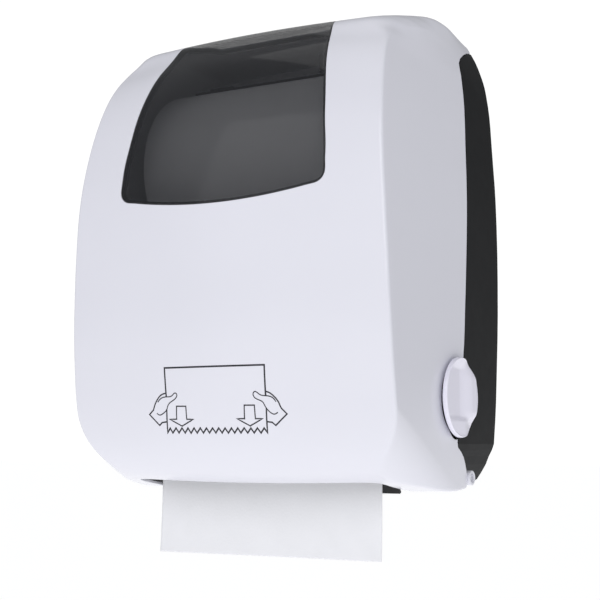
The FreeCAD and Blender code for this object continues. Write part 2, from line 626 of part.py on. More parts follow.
# ---- knife --------------------------------------------------------------
pu, pv = num["knife_piv_u"], num["knife_piv_v"]
KC = ((17.5, 18.5), (20.5, 25.6), (25.4, 24.4), (27.2, 18.0), (31.8, 3.6), (31.8, 0.4), (26.0, -2.6), (23.4, 3.0), (22.0, 12.0))
carrier_bar = plate_x("knife_bar", KC, -97.0, 97.0)
arm = plate_x("knife_arm", ((16.2, 24.0), (20.0, 28.4), (27.6, 26.6), (27.6, 18.4), (22.0, 15.4), (14.2, 9.6), (8.6, 11.4),
                            (8.6, 16.8)), -101.2, -96.5)
carrier = placed(fuse("knife_carrier", carrier_bar, arm))
knife_pins = placed(group("knife_pivots", rod("knife_pivot_right", "x", 2.5, 97.0, 103.0, "knife_piv_u", "knife_piv_v")))
bt = [(-96.0, 30.6)]
blade_pts = [(-95.0, 25.5), (95.0, 25.5)]
NTH = 38
top_pts = []
for i in range(NTH):
    x = 95.0 - 190.0 * i / NTH
    top_pts.append((x, 35.6))
    top_pts.append((x - 95.0 / NTH, 39.2))
top_pts.append((-95.0, 35.6))
w = Part.makePolygon([V(p[0], p[1], -3.6) for p in blade_pts + top_pts] + [V(-95.0, 25.5, -3.6)])
knife_blade = placed(feat("knife_blade", Part.Face(w).extrude(V(0, 0, 1.0))))
follower = placed(fuse("cam_follower", rod("follower_roller", "x", 3.4, -108.0, -103.6, 12.0, 13.0),
                       rod("follower_stud", "x", 1.8, -104.0, -101.2, 12.0, 13.0)))
# cam ring on the left frame; its ramp runs clear of the follower's circle
cam = cut("knife_cam", rod("cam_disc", "x", 34.0, -115.0, -108.6, "drum_y", "drum_z"),
          rod("cam_bore", "x", 29.0, -113.0, -100.0, "drum_y", "drum_z"),
          rod("cam_shaft_room", "x", 11.5, -120.0, -100.0, "drum_y", "drum_z"))

# ---- pinch roller -------------------------------------------------------
roller = cut("pinch_roller", rod("pinch_tube", "x", "pinch_rad", -101, 101, -80, "pinch_z"),
             rod("pinch_bore", "x", "pinch_axle_rad+0.05", -105, 105, -80, "pinch_z"))
axle = rod("pinch_axle", "x", "pinch_axle_rad", -121.5, 121.5, -80, "pinch_z")


def leaf(tag, s):
    a, b = s * 118.2, s * 121.2
    return plate_x("pinch_spring_" + tag, ((-112.0, -68.9), (-104.0, -61.0), (-96.0, -61.6), (-84.0, -66.2), (-76.0, -66.4),
                                           (-73.6, -64.2), (-74.2, -63.6), (-76.3, -65.6), (-83.8, -65.4), (-95.8, -60.8),
                                           (-104.3, -60.2), (-112.6, -68.3)), min(a, b), max(a, b))


pinch_springs = group("pinch_springs", leaf("right", 1), leaf("left", -1))

# ---- towel roll ---------------------------------------------------------
core = cut("roll_core", rod("core_out", "x", "core_rad", -100.0, 100.0, "roll_y", "roll_z"),
           rod("core_in", "x", "core_bore", -102, 102, "roll_y", "roll_z"))
paper_roll = cut("paper_roll", rod("roll_out", "x", "roll_rad", -99.8, 99.8, "roll_y", "roll_z"),
                 rod("roll_in", "x", "core_rad", -102, 102, "roll_y", "roll_z"))


def hub(tag, s):
    prof = ((s * 91.0, 0.0), (s * 91.0, 15.6), (s * 92.0, 16.6), (s * 100.6, 18.2), (s * 100.6, 27.0), (s * 103.0, 27.0),
            (s * 103.0, 9.0), (s * 105.0, 9.0), (s * 105.0, 0.0))
    b = turned("roll_hub_" + tag, prof, "roll_y", "roll_z")
    return b


hub_r, hub_l = hub("right", 1), hub("left", -1)


def arm_outline():
    return ((-3.2, 40.0), (-3.2, 100.0), (-12.0, 103.0), (-60.0, 88.0), (-84.0, 84.0), (-92.0, 77.0), (-93.0, 66.0),
            (-87.0, 58.0), (-60.0, 50.0), (-12.0, 37.0))


arm_l = fuse("roll_arm_left", plate_x("arm_plate_left", arm_outline(), -108.0, -105.0),
             box("arm_foot_left", -116, -105.0, -6.0, -3.0, 44, 96))
arm_plate = plate_x("arm_plate_right", tuple((min(y, -14.0) if y > -14 else y, z) for y, z in arm_outline()), 105.0, 108.0)
knuckle = fuse("arm_knuckle", rod("arm_barrel", "z", 4.5, 50, 90, 106.5, -11.0),
               box("arm_root", 105.0, 108.0, -16.0, -11.0, 50, 90))
arm_r = cut("roll_arm_right", fuse("arm_blank_right", arm_plate, knuckle),
            rod("arm_bore", "z", 2.05, 40, 100, 106.5, -11.0),
            box("arm_trim_a", 100, 112, -16.7, -2, 30, 49.8), box("arm_trim_b", 100, 112, -16.7, -2, 90.2, 110))
bracket = cut("arm_bracket",
              fuse("bracket_blank", box("bracket_back", 98, 115, -5.6, -3.0, 42, 98),
                   box("bracket_low", 101.5, 111.5, -16, -3, 45.6, 49.6),
                   box("bracket_high", 101.5, 111.5, -16, -3, 90.4, 94.4)),
              rod("bracket_bore", "z", 2.0, 40, 100, 106.5, -11.0))
arm_pin = rod("arm_pin", "z", 1.99, 45.0, 95.0, 106.5, -11.0)

# ---- towel: web through the mechanism and the hanging tail --------------
t = num["paper_thick"]


def web_shape():
    """Thin strip along the path roll, guide rod, pinch roller, drum, outlet."""
    ry, rz, rr = num["roll_y"], num["roll_z"], num["roll_rad"] + 0.3
    gy, gz, gr = num["rod_y"], num["rod_z"], num["rod_rad"] + 0.2
    py, pz, pr = -80.0, num["pinch_z"], num["pinch_rad"] + 0.25
    dy, dz, dr = num["drum_y"], num["drum_z"], num["drum_rad"] + 0.25
    # crossing tangent from the rear of the roll to the front of the guide rod
    d = math.hypot(gy - ry, gz - rz)
    th = math.atan2(gz - rz, gy - ry)
    be = math.acos((rr + gr) / d)
    pts = []
    a_roll = th + be
    a_rod = a_roll + math.pi
    start = (ry + rr * math.cos(a_roll), rz + rr * math.sin(a_roll))
    pts.append(start)

    def arc(cy, cz, r, a0, a1, n):
        for i in range(n + 1):
            a = a0 + (a1 - a0) * i / n
            pts.append((cy + r * math.cos(a), cz + r * math.sin(a)))

    arc(gy, gz, gr, a_rod, math.pi, 8)
    arc(py, pz, pr, 0.0, -math.pi / 2, 16)
    arc(dy, dz, dr, math.pi / 2 + 0.01, math.pi, 36)
    pts.append((dy - dr, -178.0))
    return pts


WEB = web_shape()
left_side, right_side = [], []
n = len(WEB)
for i, p in enumerate(WEB):
    a, b = WEB[max(i - 1, 0)], WEB[min(i + 1, n - 1)]
    q = math.hypot(b[0] - a[0], b[1] - a[1])
    ny, nz = (b[1] - a[1]) / q, -(b[0] - a[0]) / q
    left_side.append((p[0] + ny * t / 2, p[1] + nz * t / 2))
    right_side.append((p[0] - ny * t / 2, p[1] - nz * t / 2))
paper_web = feat("paper_web", prism_x(left_side + right_side[::-1], -99.8, 99.8))
paper_tail = box("paper_tail", "-sheet_half", "sheet_half", "tail_y-paper_thick/2", "tail_y+paper_thick/2",
                 "tail_low", -178.0)

# ---- feed knob ----------------------------------------------------------
knob_body = turned("knob_turn", ((133.6, 4.3), (133.6, 8.0), (144.2, 8.0), (144.5, 9.0), (144.5, 28.9), (145.4, 30.1),
                                 (146.6, 30.5), (148.2, 30.3), (148.9, 29.6), (149.0, 28.8), (148.4, 27.6), (147.8, 26.4),
                                 (147.6, 0.0), (134.8, 0.0), (134.8, 4.3)))
scoop = doc.addObject("Part::Ellipsoid", "knob_scoop")
scoop.Label = "knob_scoop"
bind(scoop, "Radius1", 19.0, "scoop_tall")
bind(scoop, "Radius2", 2.2, "scoop_deep")
bind(scoop, "Radius3", 15.0, "scoop_wide")
scoop.Placement = Pla(V(147.7, -88.5, -115.5), Rot())
ridge = both("knob_ridge", rod("ridge_round", "x", 26.0, 147.0, 149.0, "drum_y", "drum_z"),
             box("ridge_box", 146, 150, -74.5, -67.5, -150, -97))
feed_knob = fuse("feed_knob", cut("knob_blank", knob_body, scoop), ridge)
knob_clip = cut("knob_clip", rod("clip_disc", "x", 6.5, 131.6, 132.6, "drum_y", "drum_z"),
                rod("clip_bore", "x", "shaft_rad", 131, 133.4, "drum_y", "drum_z"),
                box("clip_gap", 131, 133.4, -90, -80, -122.2, -117.8))

# ---- cover lock ---------------------------------------------------------
lock_barrel = cut("lock_barrel",
                  fuse("lock_blank", rod("lock_body", "z", "lock_rad", 167.5, 184.8, 0, "lock_y"),
                       rod("lock_tail", "z", 3.5, 163.0, 168.0, 0, "lock_y")),
                  box("key_slot", -3.0, 3.0, -22.5, -21.5, 182.2, 187.0),
                  rod("key_bore", "z", 1.4, 178.0, 186.0, 0, "lock_y"))
lock_cam = cut("lock_cam", fuse("lock_cam_blank", rod("cam_eye", "z", 6.0, 164.6, 167.0, 0, "lock_y"),
                                box("cam_tongue", -4.0, 4.0, -22.0, -6.0, 164.6, 167.0)),
               rod("cam_hole", "z", 3.5, 160.0, 170.0, 0, "lock_y"))
lock_clip = cut("lock_clip", rod("lock_clip_disc", "z", 5.5, 163.4, 164.4, 0, "lock_y"),
                rod("lock_clip_hole", "z", 3.5, 160, 170, 0, "lock_y"),
                box("lock_clip_gap", -1.8, 1.8, -30, -22, 160, 170))

# ---- assist spring: close-wound body with a hook at each end ------------
a = V(-129.0, -80.0, -103.5)
b = V(-129.0, -58.0, -40.0)
u = (b - a).normalize()


def spring_shape():
    n1 = V(-1, 0, 0)
    side_ = u.cross(n1).normalize()
    p0, p1 = a + u * 9.0, b - u * 9.0
    body_ = Part.makeCylinder(3.6, (p1 - p0).Length, p0, u).cut(Part.makeCylinder(2.6, (p1 - p0).Length + 2, p0 - u, u))
    parts = [body_]
    for c, s in ((a, 1), (b, -1)):
        ring = Part.makeTorus(3.1, 0.5, c, n1)
        neck = Part.makeCylinder(0.5, 6.4, c + u * (s * 3.1), u * s)
        bridge = Part.makeBox(1.0, 6.6, 1.0, V(-0.5, -3.3, -0.5))
        bridge.Placement = Pla(c + u * (s * 9.3), Rot(V(0, 0, 1), u)).multiply(Pla(V(0, 0, 0), Rot()))
        parts += [ring, neck, bridge]
    f = parts[0]
    for p in parts[1:]:
        f = f.fuse(p)
    return f


assist_spring = feat("assist_spring", spring_shape())

# ---- casing forms -------------------------------------------------------
band0, band1 = band_form(0.0), band_form(cw)
side0, side1 = side_form(0.0), side_form(cw)
skin_out = feat("form_outer", band0.common(side0))
skin_in = feat("form_inner", band1.common(side1))

# Seam between the white cover and the black housing, from the wall at the top to the hinge.
SEAM = (
    (0.0, 170.5), (-12.0, 167.5), (-24.0, 162.6), (-34.0, 157.0), (-39.5, 151.5), (-41.0, 145.0), (-41.6, 139.0),
    (-43.0, 123.0), (-45.6, 106.0), (-48.4, 85.0), (-51.1, 64.5), (-54.1, 36.0), (-57.1, 7.6), (-60.0, -20.0),
    (-63.0, -52.0), (-64.9, -79.0), (-67.4, -100.0), (-70.4, -125.0), (-73.0, -145.0), (-74.0, -153.6),
    (-72.8, -157.5), (-66.5, -161.0), (-61.5, -165.0), (-58.0, -170.0), (-55.6, -175.0), (-54.2, -179.5),
)
cover_zone = feat("cover_zone", prism_x(((-0.6, 205.0), (-0.6, 170.5)) + SEAM[1:] + (
    (-53.8, -183.0), (-53.0, -205.0), (-222.0, -205.0), (-222.0, 205.0)), -170, 170))
housing_zone = feat("housing_zone", prism_x(tuple((p[0] + 0.8, p[1] - 0.4) for p in SEAM) + (
    (-53.0, -184.0), (-53.0, -205.0), (0.0, -205.0)), -170, 170))


# ---- front cover --------------------------------------------------------
shell = cut("cover_shell", skin_out, skin_in)
shell_front = both("cover_shell_front", shell, cover_zone)
aperture = feat("window_aperture", window_tool(0.0, -222.0, -84.0))
# paper outlet in the underside, open to the rear
outlet = feat("outlet_tool", prism_z((
    (0, -149.0), (50, -147.9), (85, -145.9), (100, -144.2), (105.5, -142.2), (109.0, -138.4), (110.0, -134.0),
    (110.0, 8.0), (-110.0, 8.0), (-110.0, -134.0), (-109.0, -138.4), (-105.5, -142.2), (-100, -144.2),
    (-85, -145.9), (-50, -147.9)), -215.0, -165.0))
notch = rod("knob_notch", "x", 27.0, 120.0, 152.0, "drum_y", "drum_z")
notch_low = both("knob_notch_low", rod("knob_notch_round", "x", 32.0, 120.0, 152.0, "drum_y", "drum_z"),
                 box("knob_notch_half", 120, 152, -88, -40, -156, -141))
ear_r = rod("ear_right", "x", "ear_rad", 133.5, 142.0, "hinge_y", "hinge_z")
ear_l = rod("ear_left", "x", "ear_rad", -142.0, -133.5, "hinge_y", "hinge_z")
web_r = box("ear_web_right", 133.5, 140.0, -60, -48, -186.0, -177.5)
web_l = box("ear_web_left", -140.0, -133.5, -60, -48, -186.0, -177.5)
bore_r = rod("ear_bore_right", "x", "hinge_bore_rad", 130, 145, "hinge_y", "hinge_z")
bore_l = rod("ear_bore_left", "x", "hinge_bore_rad", -145, -130, "hinge_y", "hinge_z")
clear_r = box("flange_relief_right", 112, 133.5, -66, -40, -200, -176)
clear_l = box("flange_relief_left", -133.5, -112, -66, -40, -200, -176)
lock_seat = rod("lock_seat", "z", 11.0, 174.0, 190.0, 0, "lock_y")
lock_bore = rod("lock_bore", "z", 7.3, 165.0, 192.0, 0, "lock_y")
rib = []
for k, (x0, x1) in enumerate(((-104.0, -101.8), (101.8, 104.0))):
    rib.append(both("cover_rib_%d" % k, box("cover_rib_box_%d" % k, x0, x1, -190, -150, -120, 20),
                    cut("cover_rib_zone_%d" % k, feat("cover_rib_deep_%d" % k, band_form(1.5)),
                        feat("cover_rib_core_%d" % k, band_form(9.0)))))
front_cover = cut("front_cover",
                  fuse("cover_blank",
                       cut("cover_trim", shell_front, aperture, outlet, notch, notch_low, clear_r, clear_l),
                       ear_r, ear_l, web_r, web_l,
                       both("lock_boss", lock_seat, skin_out), *rib),
                  bore_r, bore_l, lock_bore)

# Smoked window: flush panel with an inner flange, held by four screws.
pane = window_tool(-0.25, -222.0, -84.3)
flange = window_tool(5.0, -222.0, -79.0)
deep = band_form(4.8)
win = band0.cut(deep).common(pane).fuse(band_form(cw + 0.05).cut(deep).common(flange))
window = feat("window", win.removeSplitter())

# ---- rear housing -------------------------------------------------------
OUT = [(0, 170.4), (112.0, 170.4), (121.0, 170.2), (125.7, 169.5), (129.2, 162.9), (133.1, 153.8), (137.6, 139.5),
       (150.0, 130.0), (150.0, -155.0), (140.9, -155.2), (139.1, -160.0), (136.4, -164.9), (133.7, -171.3),
       (129.7, -177.8), (125.7, -183.5), (121.5, -186.2), (0, -186.2)]
outline = OUT + [(-x, z) for x, z in OUT[-2:0:-1]]
INN = [(0, 167.8), (119.0, 167.8), (124.0, 166.6), (126.8, 161.8), (130.7, 152.6), (135.0, 139.5),
       (146.0, 130.0), (146.0, -154.0), (138.4, -155.6), (136.8, -160.8), (134.0, -165.6), (131.3, -172.4),
       (127.6, -178.6), (124.0, -182.6), (119.5, -183.6), (0, -183.6)]
inline = INN + [(-x, z) for x, z in INN[-2:0:-1]]
h_out = side0.common(prism_y(outline, -100, 0)).common(housing_zone.Shape)
h_in = side_form(hw).common(prism_y(inline, -110, -num["back_wall"]))
h_shell = feat("housing_shell", h_out.cut(h_in))
top_wall = both("housing_roof", box("housing_roof_box", -130, 130, -40, -1, 158.0, 160.6),
                feat("housing_roof_zone", side_form(3.6)))
keeper = box("lock_keeper", 9.5, 22, -30, -27.6, 160, 172)
lug_r = fuse("hinge_lug_right", rod("lug_round_right", "x", 5.0, 122, 131, "hinge_y", "hinge_z"),
             box("lug_arm_right", 119, 126, "hinge_y", -1, -183.5, -176.3))
lug_l = fuse("hinge_lug_left", rod("lug_round_left", "x", 5.0, -131, -122, "hinge_y", "hinge_z"),
             box("lug_arm_left", -126, -119, "hinge_y", -1, -183.5, -176.3))
lug_bore = rod("lug_bore", "x", "hinge_pin_rad", -133, 133, "hinge_y", "hinge_z")
ear_room = rod("ear_room_right", "x", 7.0, 131.5, 150, "hinge_y", "hinge_z")
ear_room_l = rod("ear_room_left", "x", 7.0, -150, -131.5, "hinge_y", "hinge_z")
knob_room = rod("knob_room", "x", 10.0, 120, 152, "drum_y", "drum_z")
holes = []
for k, (sx, sz) in enumerate(((1, 1), (1, -1), (-1, 1), (-1, -1))):
    holes.append(rod("wall_hole_%d" % k, "y", "screw_hole_rad", -8, 4,
                     "screw_pitch_x*%.1f" % (sx * 0.5), "screw_pitch_z*%.1f" % (sz * 0.5)))
hub_room = [rod("frame_tap_%d" % k, "y", 1.5, -8, -0.8, sx * 122.0, sz)
            for k, (sx, sz) in enumerate(((1, -70), (1, -165), (-1, -70), (-1, -165)))]
floor_plate = box("housing_floor", -106, 106, -96, -1, -186.2, -183.8)
rear_housing = cut("rear_housing",
                   fuse("housing_blank", h_shell, top_wall, keeper, lug_r, lug_l, floor_plate,
                        box("roof_tie_right", 100, 124, -20, -2, 160, 168.5),
                        box("roof_tie_left", -124, -100, -20, -2, 160, 168.5)),
                   lug_bore, ear_room, ear_room_l, knob_room, *(holes + hub_room))

NODES = [rear_housing, front_cover, window, hinge_pins, side_frame_right, side_frame_left, frame_screws, guide_rod, chute,
         guard, drum_front, drum_rear, grip_strips, drum_shaft, bush_r, bush_l, ratchet_wheel, pawl, pawl_pin, crank_disc,
         crank_pin, spring_peg, assist_spring, carrier, knife_pins, knife_blade, follower, cam, roller, axle,
         pinch_springs, core, paper_roll, hub_r, hub_l, arm_l, arm_r, bracket, arm_pin, paper_web, paper_tail, feed_knob,
         knob_clip, lock_barrel, lock_cam, lock_clip]

doc.recompute()
bad = [o.Label for o in doc.Objects if "Invalid" in o.State or "Error" in o.State]
for o in NODES:
    if o.Shape.isNull() or not o.Shape.isValid() or not o.Shape.Solids:
        bad.append(o.Label + " shape")
if bad:
    raise SystemExit("failed: " + ", ".join(bad))

os.makedirs("parts", exist_ok=True)
for old in os.listdir("parts"):
    if old.endswith(".step"):
        os.remove(os.path.join("parts", old))
for o in NODES:
    o.Shape.exportStep(os.path.join("parts", o.Label + ".step"))
    bb = o.Shape.BoundBox
    print("%-20s solids %2d vol %9.1f  x %.1f %.1f  y %.1f %.1f  z %.1f %.1f" % (
        o.Label, len(o.Shape.Solids), o.Shape.Volume, bb.XMin, bb.XMax, bb.YMin, bb.YMax, bb.ZMin, bb.ZMax))
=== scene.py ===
import math

import bpy
import numpy as np
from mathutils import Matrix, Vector
from mathutils.geometry import delaunay_2d_cdt


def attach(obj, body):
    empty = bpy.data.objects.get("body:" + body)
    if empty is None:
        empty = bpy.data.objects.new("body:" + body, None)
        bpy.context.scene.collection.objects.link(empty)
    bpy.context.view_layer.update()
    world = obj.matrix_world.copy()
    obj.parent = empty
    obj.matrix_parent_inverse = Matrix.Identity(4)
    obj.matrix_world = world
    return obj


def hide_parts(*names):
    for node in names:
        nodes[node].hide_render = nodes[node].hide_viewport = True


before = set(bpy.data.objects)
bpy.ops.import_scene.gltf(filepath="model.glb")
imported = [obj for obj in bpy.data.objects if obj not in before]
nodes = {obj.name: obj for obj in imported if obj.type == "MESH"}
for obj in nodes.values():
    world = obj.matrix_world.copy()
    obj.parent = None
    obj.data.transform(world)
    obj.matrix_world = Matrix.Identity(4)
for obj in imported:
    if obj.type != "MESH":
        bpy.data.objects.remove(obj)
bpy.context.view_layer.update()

scene = bpy.context.scene
MM = 0.001

# ---- outer form, in millimetres, following the CAD; the underside is drawn a little fuller -----------
EDGE = (
    (8.0, 176.3, 123.0, 4.0), (-6.0, 178.6, 123.5, 4.0), (-18.6, 180.6, 124.5, 4.0),
    (-43.0, 183.2, 126.0, 3.8), (-66.7, 183.4, 126.0, 3.6), (-89.5, 180.9, 125.5, 3.6),
    (-111.5, 175.6, 122.5, 4.2), (-125.0, 171.6, 120.0, 5.0), (-133.5, 168.3, 118.5, 6.0),
    (-138.6, 164.8, 118.0, 7.0), (-141.9, 160.0, 118.6, 7.8), (-148.3, 150.0, 121.3, 8.3),
    (-156.5, 140.0, 123.7, 8.4), (-165.6, 126.0, 126.3, 8.4), (-172.8, 110.0, 128.7, 8.3),
    (-180.0, 87.0, 131.6, 8.2), (-184.8, 65.0, 133.9, 8.2), (-188.0, 43.0, 135.9, 8.2),
    (-189.3, 20.0, 137.6, 8.2), (-189.6, -3.0, 138.7, 8.2), (-189.3, -25.0, 139.7, 8.2),
    (-188.8, -48.0, 140.4, 8.2), (-187.8, -70.0, 141.1, 8.2), (-186.0, -93.0, 141.5, 8.2),
    (-183.6, -115.0, 141.8, 8.2), (-181.2, -130.0, 141.5, 8.0), (-178.0, -143.0, 141.2, 7.8),
    (-173.8, -155.0, 141.0, 7.4), (-168.0, -165.0, 141.0, 7.0), (-160.0, -173.0, 141.0, 6.4),
    (-149.0, -178.9, 141.0, 5.6), (-136.0, -182.9, 141.0, 4.6), (-120.0, -186.1, 141.0, 3.3),
    (-100.0, -189.4, 141.0, 1.9), (-82.0, -190.9, 141.0, 0.9), (-64.0, -190.6, 141.0, 0.4),
    (-48.0, -189.0, 141.0, 0.0), (8.0, -183.0, 141.0, 0.0),
)
WALL = (
    (-205.0, 138.0), (-180.0, 139.6), (-165.0, 140.4), (-155.2, 140.9), (-139.1, 142.2), (-119.8, 143.4),
    (-100.4, 144.2), (-80.9, 145.0), (-54.8, 145.9), (-28.6, 146.3), (-2.3, 146.4), (17.6, 146.2),
    (44.2, 145.5), (57.7, 144.9), (71.1, 144.0), (84.7, 143.1), (98.2, 142.4), (111.8, 141.5),
    (125.6, 139.9), (139.5, 137.3),
)
TOP_Y = (8.0, 0.0, -50.0, -100.0, -120.0, -137.0, -150.0, -170.0, -190.0, -215.0)
TOP = (
    (95.0, (142.9, 142.5, 138.6, 134.9, 133.5, 132.4, 131.6, 130.5, 129.4, 128.0)),
    (110.0, (142.1, 141.6, 137.4, 133.5, 132.1, 130.9, 130.0, 128.9, 127.6, 126.0)),
    (125.0, (140.5, 139.9, 135.7, 131.7, 130.1, 128.7, 127.7, 126.4, 124.8, 122.8)),
    (140.0, (138.0, 137.3, 133.6, 129.3, 127.4, 125.7, 124.4, 122.4, 120.2, 117.6)),
    (150.0, (134.9, 134.2, 131.4, 128.0, 125.9, 123.4, 121.2, 117.6, 114.0, 109.6)),
    (160.0, (131.0, 130.5, 129.2, 126.8, 123.8, 118.4, 114.2, 108.0, 101.8, 94.0)),
    (170.0, (125.9, 125.7, 127.4, 125.8, 121.8, 115.2, 110.0, 102.0, 94.0, 84.0)),
    (180.0, (119.9, 120.2, 125.8, 124.8, 120.2, 113.0, 107.0, 98.0, 89.0, 78.0)),
    (190.0, (113.9, 114.7, 124.2, 123.8, 118.8, 111.0, 104.6, 94.6, 84.6, 72.0)),
    (200.0, (107.9, 109.2, 122.6, 122.8, 117.4, 109.0, 102.2, 91.2, 80.2, 66.0)),
)
SEAM = (
    (-0.6, 170.3), (-12.0, 167.5), (-24.0, 162.6), (-34.0, 157.0), (-39.5, 151.5), (-41.0, 145.0), (-41.6, 139.0),
    (-43.0, 123.0), (-45.6, 106.0), (-48.4, 85.0), (-51.1, 64.5), (-54.1, 36.0), (-57.1, 7.6), (-60.0, -20.0),
    (-63.0, -52.0), (-64.9, -79.0), (-67.4, -100.0), (-70.4, -125.0), (-73.0, -145.0), (-74.0, -153.6),
    (-72.8, -157.5), (-66.5, -161.0), (-61.5, -165.0), (-58.0, -170.0), (-55.6, -175.0), (-54.2, -179.5),
)


def table(x, tab):
    """Smooth monotone reading of a table of (x, value)."""
    if tab[0][0] > tab[-1][0]:
        tab = tab[::-1]
    n = len(tab)
    h = [tab[i + 1][0] - tab[i][0] for i in range(n - 1)]
    d = [(tab[i + 1][1] - tab[i][1]) / h[i] for i in range(n - 1)]
    m = [d[0]] + [0.0] * (n - 2) + [d[-1]]
    for i in range(1, n - 1):
        if d[i - 1] * d[i] > 0:
            w1, w2 = 2 * h[i] + h[i - 1], h[i] + 2 * h[i - 1]
            m[i] = (w1 + w2) / (w1 / d[i - 1] + w2 / d[i])
    if x <= tab[0][0]:
        return tab[0][1] + m[0] * (x - tab[0][0])
    if x >= tab[-1][0]:
        return tab[-1][1] + m[-1] * (x - tab[-1][0])
    i = max(k for k in range(n - 1) if tab[k][0] <= x)
    u = (x - tab[i][0]) / h[i]
    return (tab[i][1] * (2 * u ** 3 - 3 * u * u + 1) + tab[i + 1][1] * (3 * u * u - 2 * u ** 3)
            + h[i] * (m[i] * (u ** 3 - 2 * u * u + u) + m[i + 1] * (u ** 3 - u * u)))


FRONT = [e for e in EDGE if e[0] <= -141.0]
CREASE_X = tuple((e[1], e[2]) for e in FRONT if e[1] > -120) + ((-140.0, 141.6), (-210.0, 140.8))
CREASE_Y = tuple((e[1], e[0]) for e in FRONT if e[1] > -120) + ((-130.0, -182.0), (-210.0, -178.0))


def side_row(z, ys):
    """Half-width of the outer form at height z for several depths."""
    f = min(max((z - 95.0) / 50.0, 0.0), 1.0)
    f = f * f * (3 - 2 * f)
    low = high = 0.0
    if f < 1:
        xw, xc, yc = table(z, WALL), table(z, CREASE_X), table(z, CREASE_Y)
        low = xw + (xc - xw) * ys / yc
    if f > 0:
        cols = tuple((c, table(z, tuple((r[0], r[1][i]) for r in TOP))) for i, c in enumerate(TOP_Y))
        high = np.array([table(y, cols) for y in ys])
    x = (1 - f) * low + f * high
    dz = -130.1 - 0.5485 * (ys + 178.9) - z
    d = np.clip(dz, 0.0, 36.0)
    return x - np.where(dz > 0, 45.0 * (1 - np.sqrt(1 - (d / 40.0) ** 2)) + 2.32 * (dz - d), 0.0)


G0Y, G0Z, GS = -206.0, -202.0, 2.0
GRID_Y = np.arange(G0Y, 14.1, GS)
GRID_Z = np.arange(G0Z, 206.1, GS)
GRID = np.array([side_row(float(z), GRID_Y) for z in GRID_Z]).T


def side_at(y, z):
    fy, fz = (y - G0Y) / GS, (z - G0Z) / GS
    iy = np.clip(np.floor(fy).astype(int), 1, len(GRID_Y) - 3)
    iz = np.clip(np.floor(fz).astype(int), 1, len(GRID_Z) - 3)

    def w(t):
        return ((-t + 2 * t * t - t ** 3) / 2, (2 - 5 * t * t + 3 * t ** 3) / 2,
                (t + 4 * t * t - 3 * t ** 3) / 2, (-t * t + t ** 3) / 2)
    wy, wz = w(fy - iy), w(fz - iz)
    return sum(wy[a] * wz[b] * GRID[iy + a - 1, iz + b - 1] for a in range(4) for b in range(4))


def spline(us, vs):
    n = len(us)
    h = np.diff(us)
    m = np.zeros((n, n))
    r = np.zeros(n)
    m[0, 0] = m[-1, -1] = 1
    for i in range(1, n - 1):
        m[i, i - 1:i + 2] = h[i - 1], 2 * (h[i - 1] + h[i]), h[i]
        r[i] = 3 * ((vs[i + 1] - vs[i]) / h[i] - (vs[i] - vs[i - 1]) / h[i - 1])
    c = np.linalg.solve(m, r)

    def f(u):
        i = np.clip(np.searchsorted(us, u, side="right") - 1, 0, n - 2)
        q = u - us[i]
        b = (vs[i + 1] - vs[i]) / h[i] - h[i] * (c[i + 1] + 2 * c[i]) / 3
        return vs[i] + b * q + c[i] * q * q + (c[i + 1] - c[i]) / (3 * h[i]) * q ** 3
    return f


_e = np.array(EDGE)
_us = np.concatenate(([0.0], np.cumsum(np.hypot(*(_e[1:, :2] - _e[:-1, :2]).T))))
_u = np.linspace(0.0, _us[-1], 2400)
PY, PZ, PW, PC = (spline(_us, _e[:, k])(_u) for k in range(4))


def blur(a, sigma):
    """Gaussian smoothing along the profile, with both ends kept."""
    n = int(sigma * 3)
    k = np.exp(-0.5 * (np.arange(-n, n + 1) / sigma) ** 2)
    b = np.concatenate((2 * a[0] - a[n:0:-1], a, 2 * a[-1] - a[-2:-n - 2:-1]))
    return np.convolve(b, k / k.sum(), "valid")


PY, PZ, PW, PC = blur(PY, 9.0), blur(PZ, 9.0), blur(PW, 30.0), blur(PC, 30.0)


def step01(t):
    t = np.clip(t, 0.0, 1.0)
    return t * t * (3 - 2 * t)


# the roof over the window is flatter than the front
PC = PC * np.where(PZ > 100, 1 - 0.85 * step01((PY + 152.0) / 38.0) * (1 - step01((PY + 62.0) / 45.0)), 1.0)
_ty, _tz = np.gradient(PY), np.gradient(PZ)
_q = np.hypot(_ty, _tz)
PNY, PNZ = _tz / _q, -_ty / _q
PV = np.concatenate(([0.0], np.cumsum(np.hypot(np.diff(PY), np.diff(PZ)))))


def band(v, x):
    """A point of the front, roof and underside: depth and height for a place along the profile and x."""
    k = np.interp(v, PV, PC) * (1 - (x / np.interp(v, PV, PW)) ** 2)
    return np.interp(v, PV, PY) + np.interp(v, PV, PNY) * k, np.interp(v, PV, PZ) + np.interp(v, PV, PNZ) * k


CX = PW.copy()
for _ in range(24):
    CX = 0.5 * CX + 0.5 * side_at(*band(PV, CX))
CY, CZ = band(PV, CX)


def near(y, z, ys, zs):
    return int(np.argmin(np.hypot(ys - y, zs - z)))


def divide(pts, step):
    """The same open outline with every run divided into short steps."""
    out = []
    for a, b in zip(pts, pts[1:]):
        a, b = np.array(a, float), np.array(b, float)
        n = max(1, int(math.ceil(np.linalg.norm(b - a) / step)))
        out += [a + (b - a) * i / n for i in range(n)]
    out.append(np.array(pts[-1], float))
    return np.array(out)


